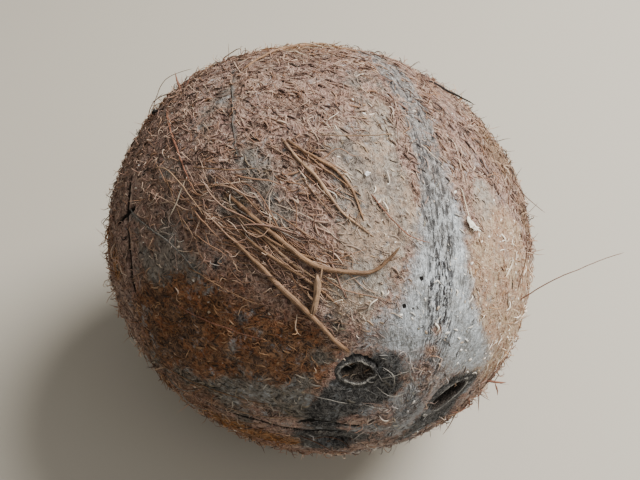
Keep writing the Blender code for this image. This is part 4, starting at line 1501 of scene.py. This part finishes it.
def eyeThreadPaths(hull, tuning):
    # torn fibres in and over the hole, each a few points, with its widths and colour
    draw = random.Random(tuning["seed"] + 100)
    origin, sideways, lengthwise, out = eyeFrame(hull, tuning["turn"], tuning["tilt"])
    radius = tuning["radius"]
    depth = tuning["depth"]
    paths = []
    for number in range(tuning["threads"]):
        angle = draw.uniform(0, math.tau)
        over = number % 3 == 0                  # every third lies across the rim
        start = radius * (1.15 if over else draw.uniform(0.3, 0.95))
        level = 0.35 if over else -depth * draw.uniform(0.35, 0.9)
        x = start * math.cos(angle)
        y = start * math.sin(angle)
        heading = draw.uniform(0, math.tau) if not over else angle + math.pi + draw.uniform(-0.9, 0.9)
        points = []
        for _ in range(5):
            points.append(origin + sideways * (x * mm) + lengthwise * (y * mm) + out * (level * mm))
            heading += draw.uniform(-0.7, 0.7)
            stride = draw.uniform(0.35, 0.75)
            x += stride * math.cos(heading)
            y += stride * math.sin(heading)
            if math.hypot(x, y) > radius * 0.95 and not over:
                heading += math.pi
            level += draw.uniform(-0.25, 0.25) - (0.12 if over else 0.0)
        tone = draw.choice(("gold", "tan", "grey", "pale") if not over else ("grey", "tan", "grey"))
        paths.append((points, (0.16, 0.26, 0.10), tone))
    return paths


# Two dry scales that lie loose on the husk: place, length and width in mm, colour
dryScales = dict(
    scale_long=dict(turn=36.0, tilt=53.0, size=(5.6, 2.1), heading=-25.0, lift=0.85,
                    colour=(0.80, 0.76, 0.66), seed=41),
    scale_white=dict(turn=5.0, tilt=64.0, size=(1.7, 1.2), heading=10.0, lift=0.75,
                     colour=(0.88, 0.88, 0.87), seed=42))
scaleShape = dict(rings=5, spots=22, halfThickness=0.07, jags=(0.62, 1.12))


def makeScale(name, hull, tuning):
    # a curled leaf of husk with a torn outline
    draw = random.Random(tuning["seed"])
    direction = onNut(tuning["turn"], tuning["tilt"])
    _, sideways, lengthwise, out = eyeFrame(hull, tuning["turn"], tuning["tilt"])
    origin = skinAt(hull, direction) + out * (tuning["lift"] * mm)
    lean = math.radians(tuning["heading"])
    longWay = sideways * math.cos(lean) + lengthwise * math.sin(lean)
    wideWay = out.cross(longWay)
    halfLength, halfWidth = (part / 2 for part in tuning["size"])
    rings = scaleShape["rings"]
    count = scaleShape["spots"]
    jags = [draw.uniform(*scaleShape["jags"]) for _ in range(count)]
    work = bmesh.new()
    for layer in (1.0, -1.0):
        middle = work.verts.new(origin + out * (layer * scaleShape["halfThickness"] * mm))
        rows = []
        for ring in range(1, rings + 1):
            share = ring / rings
            row = []
            for step in range(count):
                angle = math.tau * step / count
                reach = share * (1.0 + (jags[step] - 1.0) * share)
                x = halfLength * reach * math.cos(angle)
                y = halfWidth * reach * math.sin(angle) * (1.0 - 0.35 * math.cos(angle))
                curl = 0.10 * x * x - 0.16 * abs(y) + 0.12 * math.sin(x * 3.0 + y * 2.0)
                thick = scaleShape["halfThickness"] * (1.0 - share * share)
                row.append(work.verts.new(origin + longWay * (x * mm) + wideWay * (y * mm) +
                                          out * ((curl + layer * thick) * mm)))
            rows.append(row)
        for step in range(count):
            after = (step + 1) % count
            work.faces.new((middle, rows[0][step], rows[0][after]))
            for inner, outer in zip(rows, rows[1:]):
                work.faces.new((inner[step], outer[step], outer[after], inner[after]))
    bmesh.ops.remove_doubles(work, verts=work.verts, dist=0.000005)
    bmesh.ops.recalc_face_normals(work, faces=work.faces)
    for face in work.faces:
        face.smooth = True
    mesh = bpy.data.meshes.new(name)
    work.to_mesh(mesh)
    work.free()
    material, tree, shader = newMaterial(name + "_fibre", 0.75)
    inMm = placeInMm(tree)
    fibrous = vectorMath(tree, "MULTIPLY", inMm, (2.2, 0.7, 2.2))
    grain = noiseAt(tree, fibrous, 1.6, detail=4.0, roughness=0.65, seed=3.0)
    dark = tuple(part * shade for part, shade in zip(tuning["colour"], (0.55, 0.48, 0.40)))
    colour = mixColours(tree, ramp(tree, grain, 0.48, 0.34), tuning["colour"], dark)
    finishMaterial(tree, shader, colour, grain, strength=0.6, depth=0.2 * mm)
    mesh.materials.append(material)
    return placePiece(name, mesh)


# Floor, light and camera
studio = dict(
    floorSize=6.0,
    floorDrop=0.2 * mm,
    floorColour=(0.43, 0.402, 0.342, 1.0),
    skyColour=(1.0, 0.95, 0.88, 1.0),
    skyStrength=0.37,
    window=dict(place=(0.58, 0.09, 0.79), size=0.55, power=22.0, colour=(1.0, 0.97, 0.93)),
    bounce=dict(place=(0.45, -0.60, 0.45), size=0.6, power=2.0, colour=(1.0, 0.98, 0.95)),
    cameraTurn=-15.0,
    cameraTilt=46.0,
    cameraDistance=225.7 * mm,
    viewWidth=45.0,
    aimShift=(-0.2 * mm, 3.5 * mm),
    nearest=5.0 * mm)


def makeFloor():
    bpy.ops.mesh.primitive_plane_add(size=studio["floorSize"], location=(0.0, 0.0, -studio["floorDrop"]))
    floor = bpy.context.active_object
    floor.name = "floor"
    material, _, shader = newMaterial("pale_floor", 0.7)
    shader.inputs["Base Color"].default_value = studio["floorColour"]
    floor.data.materials.append(material)


def addSoftLight(name, place, size, power, colour):
    light = bpy.data.lights.new(name, "AREA")
    light.shape = "DISK"
    light.size = size
    light.energy = power
    light.color = colour
    lamp = placeObject(name, light)
    lamp.location = place
    lamp.rotation_euler = (nut["middle"] - Vector(place)).to_track_quat("-Z", "Y").to_euler()


def lightStudio():
    world = bpy.data.worlds.new("studio_air")
    world.use_nodes = True
    background = world.node_tree.nodes["Background"]
    background.inputs["Color"].default_value = studio["skyColour"]
    background.inputs["Strength"].default_value = studio["skyStrength"]
    bpy.context.scene.world = world
    for name in ("window", "bounce"):
        addSoftLight(name, **studio[name])


def placeCamera():
    turn = math.radians(studio["cameraTurn"])
    tilt = math.radians(studio["cameraTilt"])
    back = Vector((math.sin(turn) * math.cos(tilt), -math.cos(turn) * math.cos(tilt), math.sin(tilt)))
    right = Vector((math.cos(turn), math.sin(turn), 0.0))
    up = back.cross(right)
    aim = nut["middle"] + right * studio["aimShift"][0] + up * studio["aimShift"][1]
    lens = bpy.data.cameras.new("view")
    lens.sensor_width = 36.0
    lens.angle = math.radians(studio["viewWidth"])
    lens.clip_start = studio["nearest"]
    camera = placeObject("view", lens)
    camera.location = aim + back * studio["cameraDistance"]
    camera.rotation_euler = back.to_track_quat("Z", "Y").to_euler()
    bpy.context.scene.camera = camera


threadGroup = buildThreadGroup()
skin = makeSkin(makeSkinMaterial(threadGroup))
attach(skin, "root")
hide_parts("coconut")
feltTree = buildFeltTree()
for layer, tuning in feltLayers.items():
    felt = makeFelt(layer, skin, feltTree, tuning)
    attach(felt, "root")
crumbs = makeCrumbs(skin)
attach(crumbs, "root")
hull = BVHTree.FromObject(skin, bpy.context.evaluated_depsgraph_get())
strandTree = buildStrandTree()
strandMaterial = makeStrandMaterial()
strands = makeStrands("coir_strands", hull, strandTree, strandMaterial, thickStrands)
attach(strands, "root")
hairs = makeStrands("fine_hairs", hull, strandTree, strandMaterial, fineHairs)
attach(hairs, "root")
cupMaterial = makeCupMaterial(threadGroup)
threadPaths = []
for eye, tuning in eyeCups.items():
    cup = makeCup(eye, hull, cupMaterial, tuning)
    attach(cup, "root")
    threadPaths += eyeThreadPaths(hull, tuning)
eyeThreads = makeStrands("eye_threads", hull, strandTree, strandMaterial, (), threadPaths)
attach(eyeThreads, "root")
for label, tuning in dryScales.items():
    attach(makeScale(label, hull, tuning), "root")
makeFloor()
lightStudio()
placeCamera()
print("studio ready")
